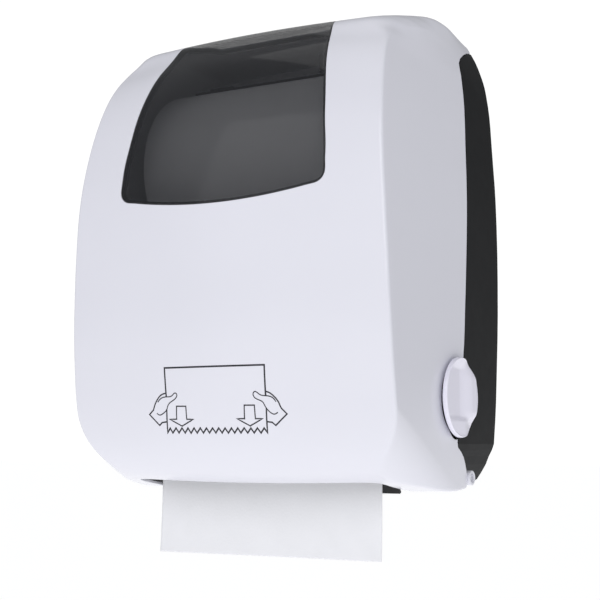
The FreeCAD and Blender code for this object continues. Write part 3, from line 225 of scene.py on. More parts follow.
_seam = divide(list(SEAM) + [(-53.9, -183.5)], 1.0)
_sl = np.concatenate(([0.0], np.cumsum(np.hypot(*np.diff(_seam, axis=0).T))))
PAIRS = (
    ((-0.6, 177.7), (-0.6, 170.3)), ((-43.0, 183.2), (-22.0, 163.4)), ((-89.5, 180.9), (-36.5, 154.6)),
    ((-125.0, 171.6), (-40.5, 147.5)), ((-141.9, 160.0), (-41.6, 138.0)), ((-165.6, 126.0), (-44.8, 111.0)),
    ((-184.8, 65.0), (-51.1, 62.0)), ((-189.3, 20.0), (-56.0, 18.0)), ((-188.8, -48.0), (-62.8, -50.0)),
    ((-183.6, -115.0), (-69.0, -113.0)), ((-173.8, -155.0), (-72.6, -142.0)), ((-149.0, -178.9), (-74.0, -153.6)),
    ((-120.0, -185.4), (-70.0, -159.0)), ((-82.0, -189.5), (-61.5, -165.0)), ((-64.0, -189.0), (-58.0, -170.0)),
    ((-53.9, -188.0), (-53.9, -183.5)),
)
_pv = [PV[near(*a, CY, CZ)] for a, b in PAIRS]
_ps = [_sl[near(*b, _seam[:, 0], _seam[:, 1])] for a, b in PAIRS]
_s_of = np.interp(PV, _pv, _ps)
SY, SZ = np.interp(_s_of, _sl, _seam[:, 0]), np.interp(_s_of, _sl, _seam[:, 1])
SW = np.hypot(SY - CY, SZ - CZ)


_roof = step01((CY + 166.0) / 78.0) * (CZ > 100)
_brow = step01((CY + 154.0) / 24.0) * (1 - step01((CY + 102.0) / 34.0)) * (CZ > 100)
CR = blur(np.minimum(2.7 + 7.6 * _roof + 15.0 * _brow, 0.42 * SW), 20.0)
V0 = float(np.interp(0.6, -CY[:1200], PV[:1200])) + 0.6
_low = CZ < -150
V1 = float(np.interp(-53.9, CY[_low], PV[_low]))
UB, UR = 130.0, 8.0


def surf(u, v):
    """The outer skin: u runs across (front to UB, rounding to UB + UR, then the side), v along the profile."""
    a, s = np.abs(u), np.where(u < 0, -1.0, 1.0)
    X, r = np.interp(v, PV, CX), np.interp(v, PV, CR)
    cy, cz = np.interp(v, PV, CY), np.interp(v, PV, CZ)
    w = np.interp(v, PV, SW)
    dy, dz = (np.interp(v, PV, SY) - cy) / w, (np.interp(v, PV, SZ) - cz) / w
    xf = np.minimum(a / UB, 1.0) * (X - r)
    yf, zf = band(v, xf)
    d = r + np.maximum(a - UB - UR, 0.0)
    ys, zs = cy + dy * d, cz + dz * d
    xs = side_at(ys, zs)
    t = np.clip((a - UB) / UR, 0.0, 1.0)
    p0, p1, p2 = (xf, yf, zf), (X, cy, cz), (xs, ys, zs)
    out = []
    for i in range(3):
        q = (1 - t) ** 2 * p0[i] + 2 * t * (1 - t) * p1[i] + t * t * p2[i]
        out.append(np.where(a <= UB, p0[i], np.where(a >= UB + UR, p2[i], q)))
    out[0] = out[0] * s
    return np.stack(out, -1)


def normal(u, v, e=0.35):
    du = surf(u + e, v) - surf(u - e, v)
    dv = surf(u, v + e) - surf(u, v - e)
    n = np.cross(dv, du)
    return n / np.linalg.norm(n, axis=-1, keepdims=True)


def solve(f, lo, hi, rounds=44):
    """Bisection on arrays: f rises through zero between lo and hi."""
    for _ in range(rounds):
        mid = (lo + hi) / 2
        up = f(mid) > 0
        lo, hi = np.where(up, lo, mid), np.where(up, mid, hi)
    return (lo + hi) / 2


V_TOP = float(PV[near(-74.0, 183.2, PY, PZ)])
V_LOW = float(PV[near(-178.0, -143.0, PY, PZ)])
V_END = float(PV[-1])
V_ROOF = float(PV[near(-125.0, 171.6, PY, PZ)])


def to_u(v, x):
    return UB * x / (np.interp(v, PV, CX) - np.interp(v, PV, CR))


def from_front(x, z):
    """Domain place of a point seen from the front."""
    x, z = np.asarray(x, float), np.asarray(z, float)
    v = solve(lambda m: z - band(m, x)[1], np.full(x.shape, V_TOP), np.full(x.shape, V_LOW + 30))
    return np.stack((to_u(v, x), v), -1)


def from_under(x, y):
    x, y = np.asarray(x, float), np.asarray(y, float)
    v = solve(lambda m: band(m, x)[0] - y, np.full(x.shape, V_LOW), np.full(x.shape, V_END))
    return np.stack((to_u(v, x), v), -1)


def from_roof(x, y):
    x, y = np.asarray(x, float), np.asarray(y, float)
    v = solve(lambda m: y - band(m, x)[0], np.full(x.shape, 0.0), np.full(x.shape, V_ROOF))
    return np.stack((to_u(v, x), v), -1)


def from_side(y, z):
    """Domain place of a point seen from the side: the ruled line through it, nearest the line's own span."""
    y, z = np.asarray(y, float), np.asarray(z, float)

    def miss(m, yy, zz):
        cy, cz = np.interp(m, PV, CY), np.interp(m, PV, CZ)
        return (np.interp(m, PV, SY) - cy) * (zz - cz) - (np.interp(m, PV, SZ) - cz) * (yy - cy)
    ks = np.arange(V0 - 3.0, V1 + 3.0, 1.0)
    f = miss(ks[None, :], y[:, None], z[:, None])
    lo = np.zeros(y.shape)
    for i in range(len(y)):
        hit = np.nonzero(np.sign(f[i, :-1]) != np.sign(f[i, 1:]))[0]
        best = None
        for k in hit:
            m = ks[k] + 0.5
            cy, cz, sy, sz = (float(np.interp(m, PV, q)) for q in (CY, CZ, SY, SZ))
            w2 = (sy - cy) ** 2 + (sz - cz) ** 2
            t = ((y[i] - cy) * (sy - cy) + (z[i] - cz) * (sz - cz)) / w2
            off = abs(t - min(max(t, 0.0), 1.0))
            if best is None or off < best[0]:
                best = (off, ks[k])
        lo[i] = best[1]
    hi = lo + 1.0
    sg = np.sign(miss(hi, y, z))
    v = solve(lambda m: sg * miss(m, y, z), lo, hi)
    cy, cz = np.interp(v, PV, CY), np.interp(v, PV, CZ)
    d = np.hypot(y - cy, z - cz)
    return np.stack((UB + UR + np.maximum(d - np.interp(v, PV, CR), 0.0), v), -1)


# ---- mesh tools --------------------------------------------------------------------------------
def inside(pts, loop):
    out = np.zeros(len(pts), bool)
    a, b = loop, np.roll(loop, -1, 0)
    for k in range(0, len(pts), 4000):
        p = pts[k:k + 4000, None]
        hit = (a[None, :, 1] > p[..., 1]) != (b[None, :, 1] > p[..., 1])
        with np.errstate(divide="ignore", invalid="ignore"):
            xc = (b[:, 0] - a[:, 0]) * (p[..., 1] - a[:, 1]) / (b[:, 1] - a[:, 1]) + a[:, 0]
        out[k:k + 4000] = (hit & (p[..., 0] < xc)).sum(1) % 2 == 1
    return out


def distance(pts, loop):
    out = np.zeros(len(pts))
    a, b = loop, np.roll(loop, -1, 0)
    ab = b - a
    q = np.maximum((ab ** 2).sum(1), 1e-12)
    for k in range(0, len(pts), 3000):
        p = pts[k:k + 3000, None]
        t = np.clip(((p - a) * ab).sum(-1) / q, 0, 1)
        out[k:k + 3000] = np.sqrt((((a + t[..., None] * ab) - p) ** 2).sum(-1)).min(1)
    return out


def shift(loop, d, closed=True):
    """An outline moved to its left by d."""
    if closed:
        t = np.roll(loop, -1, 0) - np.roll(loop, 1, 0)
    else:
        t = np.gradient(loop, axis=0)
    t = t / np.maximum(np.linalg.norm(t, axis=1, keepdims=True), 1e-9)
    return loop + np.stack((-t[:, 1], t[:, 0]), -1) * d


def fill(outer, holes, free, clear=1.1):
    """Triangles of the outlined part of the domain, with free points kept a little off its outlines."""
    keep = inside(free, outer)
    free = free[keep]
    for lp in [outer] + holes:
        free = free[distance(free, lp) > clear]
    for lp in holes:
        free = free[~inside(free, lp)]
    pts, edges = [], []
    for lp in [outer] + holes:
        n0 = len(pts)
        pts += [tuple(p) for p in lp]
        edges += [(n0 + i, n0 + (i + 1) % len(lp)) for i in range(len(lp))]
    pts += [tuple(p) for p in free]
    res = delaunay_2d_cdt([Vector(p) for p in pts], edges, [], 0, 1e-4, False)
    P = np.array([tuple(p) for p in res[0]])
    T = np.array([tuple(t) for t in res[2]])
    c = P[T].mean(1)
    ok = inside(c, outer)
    for lp in holes:
        ok &= ~inside(c, lp)
    T = T[ok]
    area = np.cross(P[T[:, 1]] - P[T[:, 0]], P[T[:, 2]] - P[T[:, 0]])
    T = np.where((area < 0)[:, None], T[:, ::-1], T)[np.abs(area) > 1e-5]
    used, inv = np.unique(T, return_inverse=True)
    return P[used], inv.reshape(T.shape)


def shell(P, T, N, thick, rr, arcs=4):
    """A closed wall of that thickness under the surface, with rounded rims. T is seen from inside."""
    F = T[:, ::-1]
    n0 = len(P)
    e = np.concatenate((F[:, [0, 1]], F[:, [1, 2]], F[:, [2, 0]]))
    known = set(map(tuple, e.tolist()))
    rim = [(i, j) for i, j in e.tolist() if (j, i) not in known]
    out = {}
    for i, j in rim:
        d = P[j] - P[i]
        d = d / max(np.linalg.norm(d), 1e-9)
        for k in (i, j):
            out[k] = out.get(k, 0) + np.cross(d, N[k])
    ids = sorted(out)
    at = {k: m for m, k in enumerate(ids)}
    B = np.array([out[k] / max(np.linalg.norm(out[k]), 1e-9) for k in ids])
    Q, M = P[ids], N[ids]
    verts, norms = [P, P - N * thick], [N, -N]
    rows = []
    base = 2 * n0
    spec = [(rr * math.sin(a), rr * (1 - math.cos(a)), math.sin(a), math.cos(a))
            for a in (math.pi / 2 * k / arcs for k in range(1, arcs + 1))]
    spec += [(rr, thick - 0.3, 1.0, -0.1), (rr - 0.3, thick, 0.3, -1.0)]
    for b, dn, kb, kn in spec:
        verts.append(Q + B * b - M * dn)
        q = B * kb + M * kn
        norms.append(q / np.linalg.norm(q, axis=1, keepdims=True))
        rows.append(base)
        base += len(ids)
    faces = F.tolist() + (T + n0).tolist()
    for i, j in rim:
        chain_i = [i] + [r + at[i] for r in rows] + [i + n0]
        chain_j = [j] + [r + at[j] for r in rows] + [j + n0]
        for k in range(len(chain_i) - 1):
            faces.append([chain_j[k], chain_i[k], chain_i[k + 1], chain_j[k + 1]])
    return np.concatenate(verts), faces, np.concatenate(norms), len(F)


def add_mesh(name, verts, faces, norms=None):
    me = bpy.data.meshes.new(name)
    me.from_pydata([tuple(v) for v in (np.asarray(verts) * MM).tolist()], [], faces)
    me.polygons.foreach_set("use_smooth", [True] * len(me.polygons))
    me.update()
    if norms is not None:
        me.normals_split_custom_set_from_vertices([tuple(n) for n in np.asarray(norms).tolist()])
    ob = bpy.data.objects.new(name, me)
    scene.collection.objects.link(ob)
    return ob


def join_parts(parts):
    """Several (verts, faces, normals) as one."""
    V, F, N, base = [], [], [], 0
    for v, f, n in parts:
        V.append(v)
        N.append(n)
        F += [[i + base for i in q] for q in f]
        base += len(v)
    return np.concatenate(V), F, np.concatenate(N)


def lathe_x(prof, cy, cz, count=72):
    """A closed ring-like body turned about X from (x, radius) points."""
    prof = np.array(prof, float)
    a = np.linspace(0, 2 * math.pi, count, endpoint=False)
    V = np.stack([np.stack((np.full(count, x), cy + r * np.cos(a), cz + r * np.sin(a)), -1) for x, r in prof])
    n = len(prof)
    F = []
    for i in range(n):
        j = (i + 1) % n
        for k in range(count):
            m = (k + 1) % count
            F.append([i * count + k, i * count + m, j * count + m, j * count + k])
    return V.reshape(-1, 3), F


# ---- materials ---------------------------------------------------------------------------------
def material(name, base, rough, *, vary=0.03, rvary=0.04, cloud=14.0, grain=900.0, bump=0.02, depth=0.00005, metal=0.0,
             coat=0.0, sheen=0.0, spec=0.5, ior=1.5, alpha=1.0, kind="noise", stretch=(1, 1, 1), sub=0.0, dark=None):
    """A procedural finish: slow colour drift, fine grain in the bump and a slightly uneven roughness."""
    m = bpy.data.materials.new(name)
    m.use_nodes = True
    nt = m.node_tree
    N, L = nt.nodes, nt.links
    b = N["Principled BSDF"]
    tc = N.new("ShaderNodeTexCoord")
    mp = N.new("ShaderNodeMapping")
    mp.inputs["Scale"].default_value = stretch
    L.new(tc.outputs["Object"], mp.inputs["Vector"])
    no = N.new("ShaderNodeTexNoise")
    no.inputs["Scale"].default_value = cloud
    no.inputs["Detail"].default_value = 5.0
    L.new(mp.outputs["Vector"], no.inputs["Vector"])
    cr = N.new("ShaderNodeValToRGB")
    lo = dark or tuple(c * (1 - vary) for c in base)
    hi = tuple(min(1.0, c * (1 + vary * 0.6)) for c in base)
    cr.color_ramp.elements[0].position = 0.3
    cr.color_ramp.elements[1].position = 0.72
    cr.color_ramp.elements[0].color = (*lo, 1)
    cr.color_ramp.elements[1].color = (*hi, 1)
    L.new(no.outputs["Fac"], cr.inputs["Fac"])
    L.new(cr.outputs["Color"], b.inputs["Base Color"])
    if kind == "voronoi":
        g = N.new("ShaderNodeTexVoronoi")
        g.inputs["Scale"].default_value = grain
        gout = g.outputs["Distance"]
    elif kind == "wave":
        g = N.new("ShaderNodeTexWave")
        g.inputs["Scale"].default_value = grain
        g.inputs["Distortion"].default_value = 1.5
        gout = g.outputs["Fac"]
    else:
        g = N.new("ShaderNodeTexNoise")
        g.inputs["Scale"].default_value = grain
        g.inputs["Detail"].default_value = 3.0
        gout = g.outputs["Fac"]
    L.new(mp.outputs["Vector"], g.inputs["Vector"])
    bp = N.new("ShaderNodeBump")
    bp.inputs["Strength"].default_value = bump
    bp.inputs["Distance"].default_value = depth
    L.new(gout, bp.inputs["Height"])
    L.new(bp.outputs["Normal"], b.inputs["Normal"])
    rn = N.new("ShaderNodeTexNoise")
    rn.inputs["Scale"].default_value = cloud * 5
    rn.inputs["Detail"].default_value = 4.0
    L.new(mp.outputs["Vector"], rn.inputs["Vector"])
    mr = N.new("ShaderNodeMapRange")
    mr.inputs["To Min"].default_value = max(0.0, rough - rvary)
    mr.inputs["To Max"].default_value = min(1.0, rough + rvary)
    L.new(rn.outputs["Fac"], mr.inputs["Value"])
    L.new(mr.outputs["Result"], b.inputs["Roughness"])
    b.inputs["Metallic"].default_value = metal
    b.inputs["Coat Weight"].default_value = coat
    b.inputs["Coat Roughness"].default_value = 0.12
    b.inputs["Sheen Weight"].default_value = sheen
    b.inputs["Specular IOR Level"].default_value = spec
    b.inputs["IOR"].default_value = ior
    b.inputs["Alpha"].default_value = alpha
    b.inputs["Subsurface Weight"].default_value = sub
    b.inputs["Subsurface Scale"].default_value = 0.002
    m.diffuse_color = (*base, alpha)
    return m


M = {
    "white": material("white_abs_gloss", (0.768, 0.77, 0.842), 0.24, vary=0.012, rvary=0.03, cloud=9, grain=520, bump=0.05,
                      depth=0.00003, coat=0.15),
    # the knob's white ABS is a lighter, bluer copy of the cover's white: painted light, so the side-facing knob reads
    # brighter than the cover's side
    "white_knob_painted_light": material("white_abs_knob_painted_light", (0.89, 0.875, 0.99), 0.3, vary=0.012, grain=700, bump=0.04, depth=0.00003,
                           coat=0.1),
    "white_in": material("white_abs_inside", (0.74, 0.745, 0.78), 0.42, vary=0.02, grain=900, bump=0.12, depth=0.00005),
    "black": material("black_abs_satin", (0.011, 0.0115, 0.0125), 0.58, vary=0.12, rvary=0.05, cloud=18, grain=1500, bump=0.22,
                      depth=0.00006, kind="voronoi", spec=0.14),
    "black_in": material("black_abs_mechanism", (0.016, 0.0165, 0.018), 0.5, vary=0.15, grain=1300, bump=0.2, depth=0.00006,
                         spec=0.28),
    "smoke": material("smoked_polycarbonate", (0.012, 0.013, 0.016), 0.07, vary=0.1, rvary=0.02, cloud=6, grain=300, bump=0.02,
                      depth=0.00002, alpha=0.66, ior=1.58),
    "smoke_in": material("smoked_polycarbonate_back", (0.012, 0.013, 0.016), 0.4, vary=0.1, rvary=0.02, cloud=6, grain=300,
                         bump=0.02, depth=0.00002, alpha=0.12, ior=1.58, spec=0.1),
    "ink": material("printed_line_ink", (0.016, 0.016, 0.024), 0.45, vary=0.2, cloud=90, grain=2600, bump=0.15, depth=0.00002),
    "grey": material("grey_acetal", (0.30, 0.31, 0.33), 0.42, vary=0.06, grain=1100, bump=0.12, depth=0.00005),
    "natural": material("natural_acetal", (0.72, 0.70, 0.64), 0.4, vary=0.04, grain=1100, bump=0.1, depth=0.00005, sub=0.05),
    "steel": material("zinc_steel", (0.60, 0.61, 0.63), 0.3, vary=0.08, rvary=0.09, cloud=60, grain=260, bump=0.12,
                      depth=0.00004, metal=1.0, stretch=(0.15, 1, 1)),
    "blade": material("ground_blade_steel", (0.68, 0.69, 0.71), 0.2, vary=0.05, rvary=0.07, cloud=120, grain=600, bump=0.15,
                      depth=0.00003, metal=1.0, stretch=(1, 0.1, 0.1)),
    "spring": material("spring_wire", (0.42, 0.43, 0.45), 0.28, vary=0.12, cloud=160, grain=900, bump=0.1, depth=0.00003,
                       metal=1.0),
    "brass": material("lock_nickel", (0.66, 0.65, 0.62), 0.26, vary=0.06, cloud=140, grain=900, bump=0.08, depth=0.00003,
                      metal=1.0),
    "rubber": material("ribbed_rubber", (0.05, 0.05, 0.055), 0.72, vary=0.2, cloud=60, grain=420, bump=0.5, depth=0.0002,
                       kind="wave"),
    "card": material("spiral_cardboard", (0.45, 0.31, 0.19), 0.82, vary=0.12, cloud=220, grain=34, bump=0.5, depth=0.0002,
                     kind="wave", stretch=(1, 0.6, 0.6)),
    "tissue": material("towel_tissue", (0.885, 0.89, 0.925), 0.9, vary=0.02, rvary=0.04, cloud=40, grain=420, bump=0.55,
                       depth=0.00012, kind="voronoi", sheen=0.08, sub=0.0),
}


def paint(ob, mat):
    me = ob.data
    me.materials.clear()
    me.materials.append(mat)


FINISH = {
    "rear_housing": "black", "hinge_pins": "black_in", "side_frame_right": "black_in", "side_frame_left": "black_in",
    "frame_screws": "steel", "guide_rod": "steel", "paper_chute": "black_in", "drum_guard": "black_in",
    "drum_half_front": "grey", "drum_half_rear": "grey", "grip_strips": "rubber", "drum_shaft": "steel",
    "drum_bush_right": "natural", "drum_bush_left": "natural", "ratchet_wheel": "natural", "pawl": "natural",
    "pawl_pin": "steel", "crank_disc": "grey", "crank_pin": "steel", "spring_peg": "steel", "assist_spring": "spring",
    "knife_carrier": "natural", "knife_pivots": "steel", "knife_blade": "blade", "cam_follower": "natural",
    "knife_cam": "grey", "pinch_roller": "rubber", "pinch_axle": "steel", "pinch_springs": "spring", "roll_core": "card",
    "paper_roll": "tissue", "roll_hub_right": "grey", "roll_hub_left": "grey", "roll_arm_left": "black_in",
    "roll_arm_right": "black_in", "arm_bracket": "black_in", "arm_pin": "steel", "paper_web": "tissue",
    "paper_tail": "tissue", "feed_knob": "white_knob_painted_light", "knob_clip": "steel", "lock_barrel": "brass", "lock_cam": "steel",
    "lock_clip": "steel", "front_cover": "white", "window": "smoke",
}
for name_, ob_ in nodes.items():
    paint(ob_, M[FINISH.get(name_, "grey")])


# ---- window outline ----------------------------------------------------------------------------
def window_outline(grow, y_rear):
    """Closed outline in the domain, moved outwards by grow: right side, bottom, left side, then the rear edge."""
    half = [(x, 24.6 + 0.0011 * x * x) for x in (0, 12, 24, 36, 48, 60, 70, 78)]
    half += [(82.0 + 9.6 * math.cos(math.radians(a)), 41.6 + 9.6 * math.sin(math.radians(a)))
             for a in (-80, -62, -44, -26, -8)]
    half += [(91.4, 47.0), (90.9, 58.0), (89.6, 70.0), (88.2, 80.0), (86.5, 95.0), (84.2, 110.0), (81.2, 125.0),
             (77.8, 140.0), (74.6, 152.0), (71.8, 164.0), (69.2, 178.0), (67.0, 205.0)]
    h = np.array(half)
    s = np.concatenate(([0.0], np.cumsum(np.hypot(*np.diff(h, axis=0).T))))
    t = np.arange(0.0, s[-1], 1.6)
    fx, fz = spline(s, h[:, 0]), spline(s, h[:, 1])
    right = np.stack((fx(t), fz(t)), -1)
    right = shift(right, -grow, closed=False)
    right[0, 0] = 0.0
    # cut the side off at the rear edge of the opening
    zmax = float(band(np.array([float(from_roof(70.0, y_rear)[1])]), np.array([70.0]))[1][0])
    right = right[right[:, 1] < zmax - 1.0]
    xe = right[-1, 0] - 0.15 * (zmax - right[-1, 1])
    dr = from_front(right[:, 0], right[:, 1])
    n = 66
    xs = np.linspace(xe, -xe, n)
    dt = from_roof(xs, np.full(n, y_rear))
    left = dr[:0:-1] * np.array([-1.0, 1.0])
    # roof edge runs right to left, then down the left side, bottom, and up the right side
    return np.concatenate((dt, left[:, :], dr[:, :]))


def grid_points(v0, v1, step_v=3.2, side_step=4.0, band_n=36, sides=True):
    rows = []
    for v in np.arange(v0 + step_v * 0.5, v1, step_v):
        us = list(UB * np.arange(0, band_n + 1) / band_n)
        if sides:
            us += [UB + UR * k / 6 for k in range(1, 7)]
            w = float(np.interp(v, PV, SW) - np.interp(v, PV, CR))
            us += list(np.arange(UB + UR + side_step, UB + UR + w, side_step))
        us = np.array(us)
        us = np.concatenate((-us[:0:-1], us))
        rows.append(np.stack((us, np.full(len(us), v)), -1))
    return np.concatenate(rows)


RR = 0.55

# ---- front cover -------------------------------------------------------------------------------
def seam_path(knob):
    """Edge of the cover's side in (y, z), from the top to the hinge, RR inside the true edge."""
    pts = [np.array(p) for p in SEAM]
    if knob:
        cy, cz = -80.0, -120.0
        t0 = math.atan2(-96.4 - cz, -66.9 - cy)
        top = [p for p in pts if p[1] > -95.5]
        a1 = math.atan2(-151.3 - cz, -73.8 - cy) + 2 * math.pi
        turn = np.linspace(t0, a1, 64)
        rad = 25.8 + 6.1 * step01((turn - math.radians(238.0)) / math.radians(40.0))
        arc = [(cy + r * math.cos(a), cz + r * math.sin(a)) for a, r in zip(turn, rad)]
        low = [p for p in pts if p[1] < -152.4]
        pts = top + [np.array(p) for p in arc] + low
    pts += [np.array((-53.9, -183.0))]
    line = divide([tuple(p) for p in pts], 1.7)
    line = shift(line, -RR, closed=False)
    return line


def cover_outer():
    right = from_side(*seam_path(True).T)
    left = from_side(*seam_path(False).T) * np.array([-1.0, 1.0])
    right = right[(right[:, 1] > V0 + 0.8) & (right[:, 1] < V1 - RR - 0.4)]
    left = left[(left[:, 1] > V0 + 0.8) & (left[:, 1] < V1 - RR - 0.4)]
    top = np.stack((np.linspace(left[0, 0], right[0, 0], 150), np.full(150, V0)), -1)
    out = [top, right]
    # underside: outlet opening, rear relief beside the hinge lugs
    und = [(134.1, -54.6), (134.1, -66.6), (110.6, -66.6)]
    lip = [(110.6, -133.6), (109.5, -138.8), (105.9, -142.8), (100, -144.8), (85, -146.5), (50, -148.5), (0, -149.6)]
    lip = lip + [(-x, y) for x, y in lip[-2::-1]]
    und = und + lip + [(-110.6, -66.6), (-134.1, -66.6), (-134.1, -54.6)]
    und = divide(und, 1.9)
    low = from_under(und[:, 0], und[:, 1])
    return out, low, left


out_, low_, left_ = cover_outer()
_vr = float(low_[0, 1])
_tail_r = out_[1][-1]
_tail_l = left_[-1]
_conn_r = divide([tuple(_tail_r), (_tail_r[0], _vr), tuple(low_[0])], 1.6)[1:-1]
_conn_l = divide([tuple(low_[-1]), (_tail_l[0], _vr), tuple(_tail_l)], 1.6)[1:-1]
outer_loop = np.concatenate((out_[0][:-1], out_[1], _conn_r, low_, _conn_l, left_[::-1][:-1]))
win_loop = window_outline(RR, -84.0 + RR)
lock_loop = np.array([(7.4 + RR) * np.array((math.cos(a), math.sin(a))) + (0, -22.0)
                      for a in np.linspace(0, 2 * math.pi, 40, endpoint=False)])
lock_loop = from_roof(lock_loop[:, 0], lock_loop[:, 1])
P2, T2 = fill(outer_loop, [win_loop, lock_loop], grid_points(V0, V1))
P3, N3 = surf(P2[:, 0], P2[:, 1]), normal(P2[:, 0], P2[:, 1])
P3 = P3 - N3 * 0.06
cover_parts = [shell(P3, T2, N3, 2.45, RR)[:3]]


def rib(x, v_a, v_b, t=1.1, d0=2.3, d1=8.5):
    """A stiffening rib along the inside of the front, thickness 2t."""
    v = np.linspace(v_a, v_b, 60)
    V, N, F = [], [], []
    spec = ((-t, d0, (-1, 0.0)), (-t, d1 - 0.5, (-1, 0.0)), (-t + 0.5, d1, (-0.5, -1)), (t - 0.5, d1, (0.5, -1)),
            (t, d1 - 0.5, (1, 0.0)), (t, d0, (1, 0.0)))
    for dx, dd, (kx, kn) in spec:
        xx = np.full(v.shape, x + dx)
        u = to_u(v, xx)
        p, n = surf(u, v), normal(u, v)
        V.append(p - n * dd)
        q = np.array([1.0, 0, 0]) * kx + n * kn
        N.append(q / np.linalg.norm(q, axis=1, keepdims=True))
    m, c = len(spec), len(v)
    for i in range(m - 1):
        for k in range(c - 1):
            F.append([i * c + k, (i + 1) * c + k, (i + 1) * c + k + 1, i * c + k + 1])
    F.append([i * c for i in range(m)][::-1])
    F.append([i * c + c - 1 for i in range(m)])
    return np.concatenate(V), F, np.concatenate(N)


for xr in (-103.0, -62.0, 62.0, 103.0):
    a_ = float(from_front(np.array([xr]), np.array([14.0]))[0, 1])
    b_ = float(from_front(np.array([xr]), np.array([-150.0]))[0, 1])
    cover_parts.append(rib(xr, a_, b_))




def rear_flange():
    """A turned-down strip along the rear edge of the cover's roof."""
    xs = np.linspace(-123.0, 123.0, 83)
    V, N = [], []
    spec = ((-1.0, -1, 0.0), (-1.0, -1, 0.0), (-1.3, 0.0, -1), (-2.5, 0.0, -1), (-2.8, 1, 0.0), (-2.8, 1, 0.0))
    top_ = surf(to_u(np.full(83, V0 + 2.0), xs), np.full(83, V0 + 2.0))[:, 2] - 1.6
    low_z = 170.95 + 0 * xs
    for k, (y, ny, nz) in enumerate(spec):
        z = (top_, low_z + 0.3, low_z, low_z, low_z + 0.3, top_)[k]
        V.append(np.stack((xs, np.full(83, y), z), -1))
        N.append(np.tile(np.array([0.0, -ny, nz if nz else 0.0]), (83, 1)))
    F = []
    for i in range(5):
        for k in range(82):
            F.append([i * 83 + k, i * 83 + k + 1, (i + 1) * 83 + k + 1, (i + 1) * 83 + k])
    F.append([i * 83 for i in range(6)])
    F.append([i * 83 + 82 for i in range(6)][::-1])
    return np.concatenate(V), F, np.concatenate(N)


cover_parts.append(rear_flange())
_nflange = len(cover_parts[-1][1])
cv, cf, cn = join_parts(cover_parts)
cover = add_mesh("cover_shell", cv, cf, cn)
paint(cover, M["white"])
cover.data.materials.append(M["white_in"])
_n_out, _nt = len(P3), len(T2)
for i, p in enumerate(cover.data.polygons):
    if _nt <= i < 2 * _nt or i >= len(cover.data.polygons) - 4 * 297 - _nflange:
        p.material_index = 1
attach(cover, "cover")
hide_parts("front_cover")


def bevelled(ob, width, segments=3, angle=35):
    b = ob.modifiers.new("edge_round", "BEVEL")
    b.width = width * MM
    b.segments = segments
    b.limit_method = "ANGLE"
    b.angle_limit = math.radians(angle)
    b.harden_normals = False
    w = ob.modifiers.new("face_shading", "WEIGHTED_NORMAL")
    w.keep_sharp = True
    w.weight = 60
    return ob


for tag, s in (("right", 1), ("left", -1)):
    # hinge barrel: outer face at 142, bore 2.5, outer radius 5.8
    x0, x1 = s * 133.5, s * 142.0
    V, F = lathe_x([(x0, 2.55), (x0, 5.3), (x0 + s * 0.5, 5.8), (x1 - s * 0.7, 5.8), (x1 - s * 0.2, 5.6), (x1, 5.2),
                    (x1, 3.9), (x1 - s * 0.3, 3.6), (x1 - s * 2.4, 3.5), (x1 - s * 2.5, 2.55)], -48.0, -181.3, 64)
    if s > 0:
        F = [f[::-1] for f in F]
    # web that joins the barrel to the cover's corner
    base = len(V)
    w = np.array([(-66.5, -175.9), (-58.0, -176.6), (-51.5, -177.2), (-52.6, -183.8), (-56.0, -186.0), (-66.5, -187.6)])
    q = []
    for xx in (s * 134.0, s * 139.2):
        q += [(xx, y, z) for y, z in w]
    V = np.concatenate((V, np.array(q)))
    m = len(w)
    wf = [[base + i for i in range(m)], [base + m + i for i in range(m)][::-1]]
    wf += [[base + (i + 1) % m, base + i, base + m + i, base + m + (i + 1) % m] for i in range(m)]
    if s < 0:
        wf = [f[::-1] for f in wf]
    ear = add_mesh("cover_hinge_ear_" + tag, V, F + wf)
    bevelled(ear, 0.35, 2)
    paint(ear, M["white"])
    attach(ear, "cover")
    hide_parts("front_cover")

# ---- window ------------------------------------------------------------------------------------
pane_loop = window_outline(-0.3 - RR, -84.6 - RR)
PW2, TW2 = fill(pane_loop, [], grid_points(V0, V1, sides=False))
PW3, NW3 = surf(PW2[:, 0], PW2[:, 1]), normal(PW2[:, 0], PW2[:, 1])
PW3 = PW3 - NW3 * 0.07
pane = shell(PW3, TW2, NW3, 2.5, RR)
ring_in, ring_out = window_outline(-2.4, -86.4), window_outline(4.4, -79.6)
PR2, TR2 = fill(ring_out, [ring_in], np.zeros((0, 2)))
PR3, NR3 = surf(PR2[:, 0], PR2[:, 1]), normal(PR2[:, 0], PR2[:, 1])
ring = shell(PR3 - NR3 * 2.62, TR2, NR3, 1.7, 0.3, 2)
wv, wf_, wn = join_parts([pane[:3], ring[:3]])
window = add_mesh("smoked_window", wv, wf_, wn)
paint(window, M["smoke"])
window.data.materials.append(M["smoke_in"])
_ntw = len(TW2)
for i, p in enumerate(window.data.polygons):
    if _ntw <= i < 2 * _ntw:
        p.material_index = 1
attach(window, "cover")
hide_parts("window")

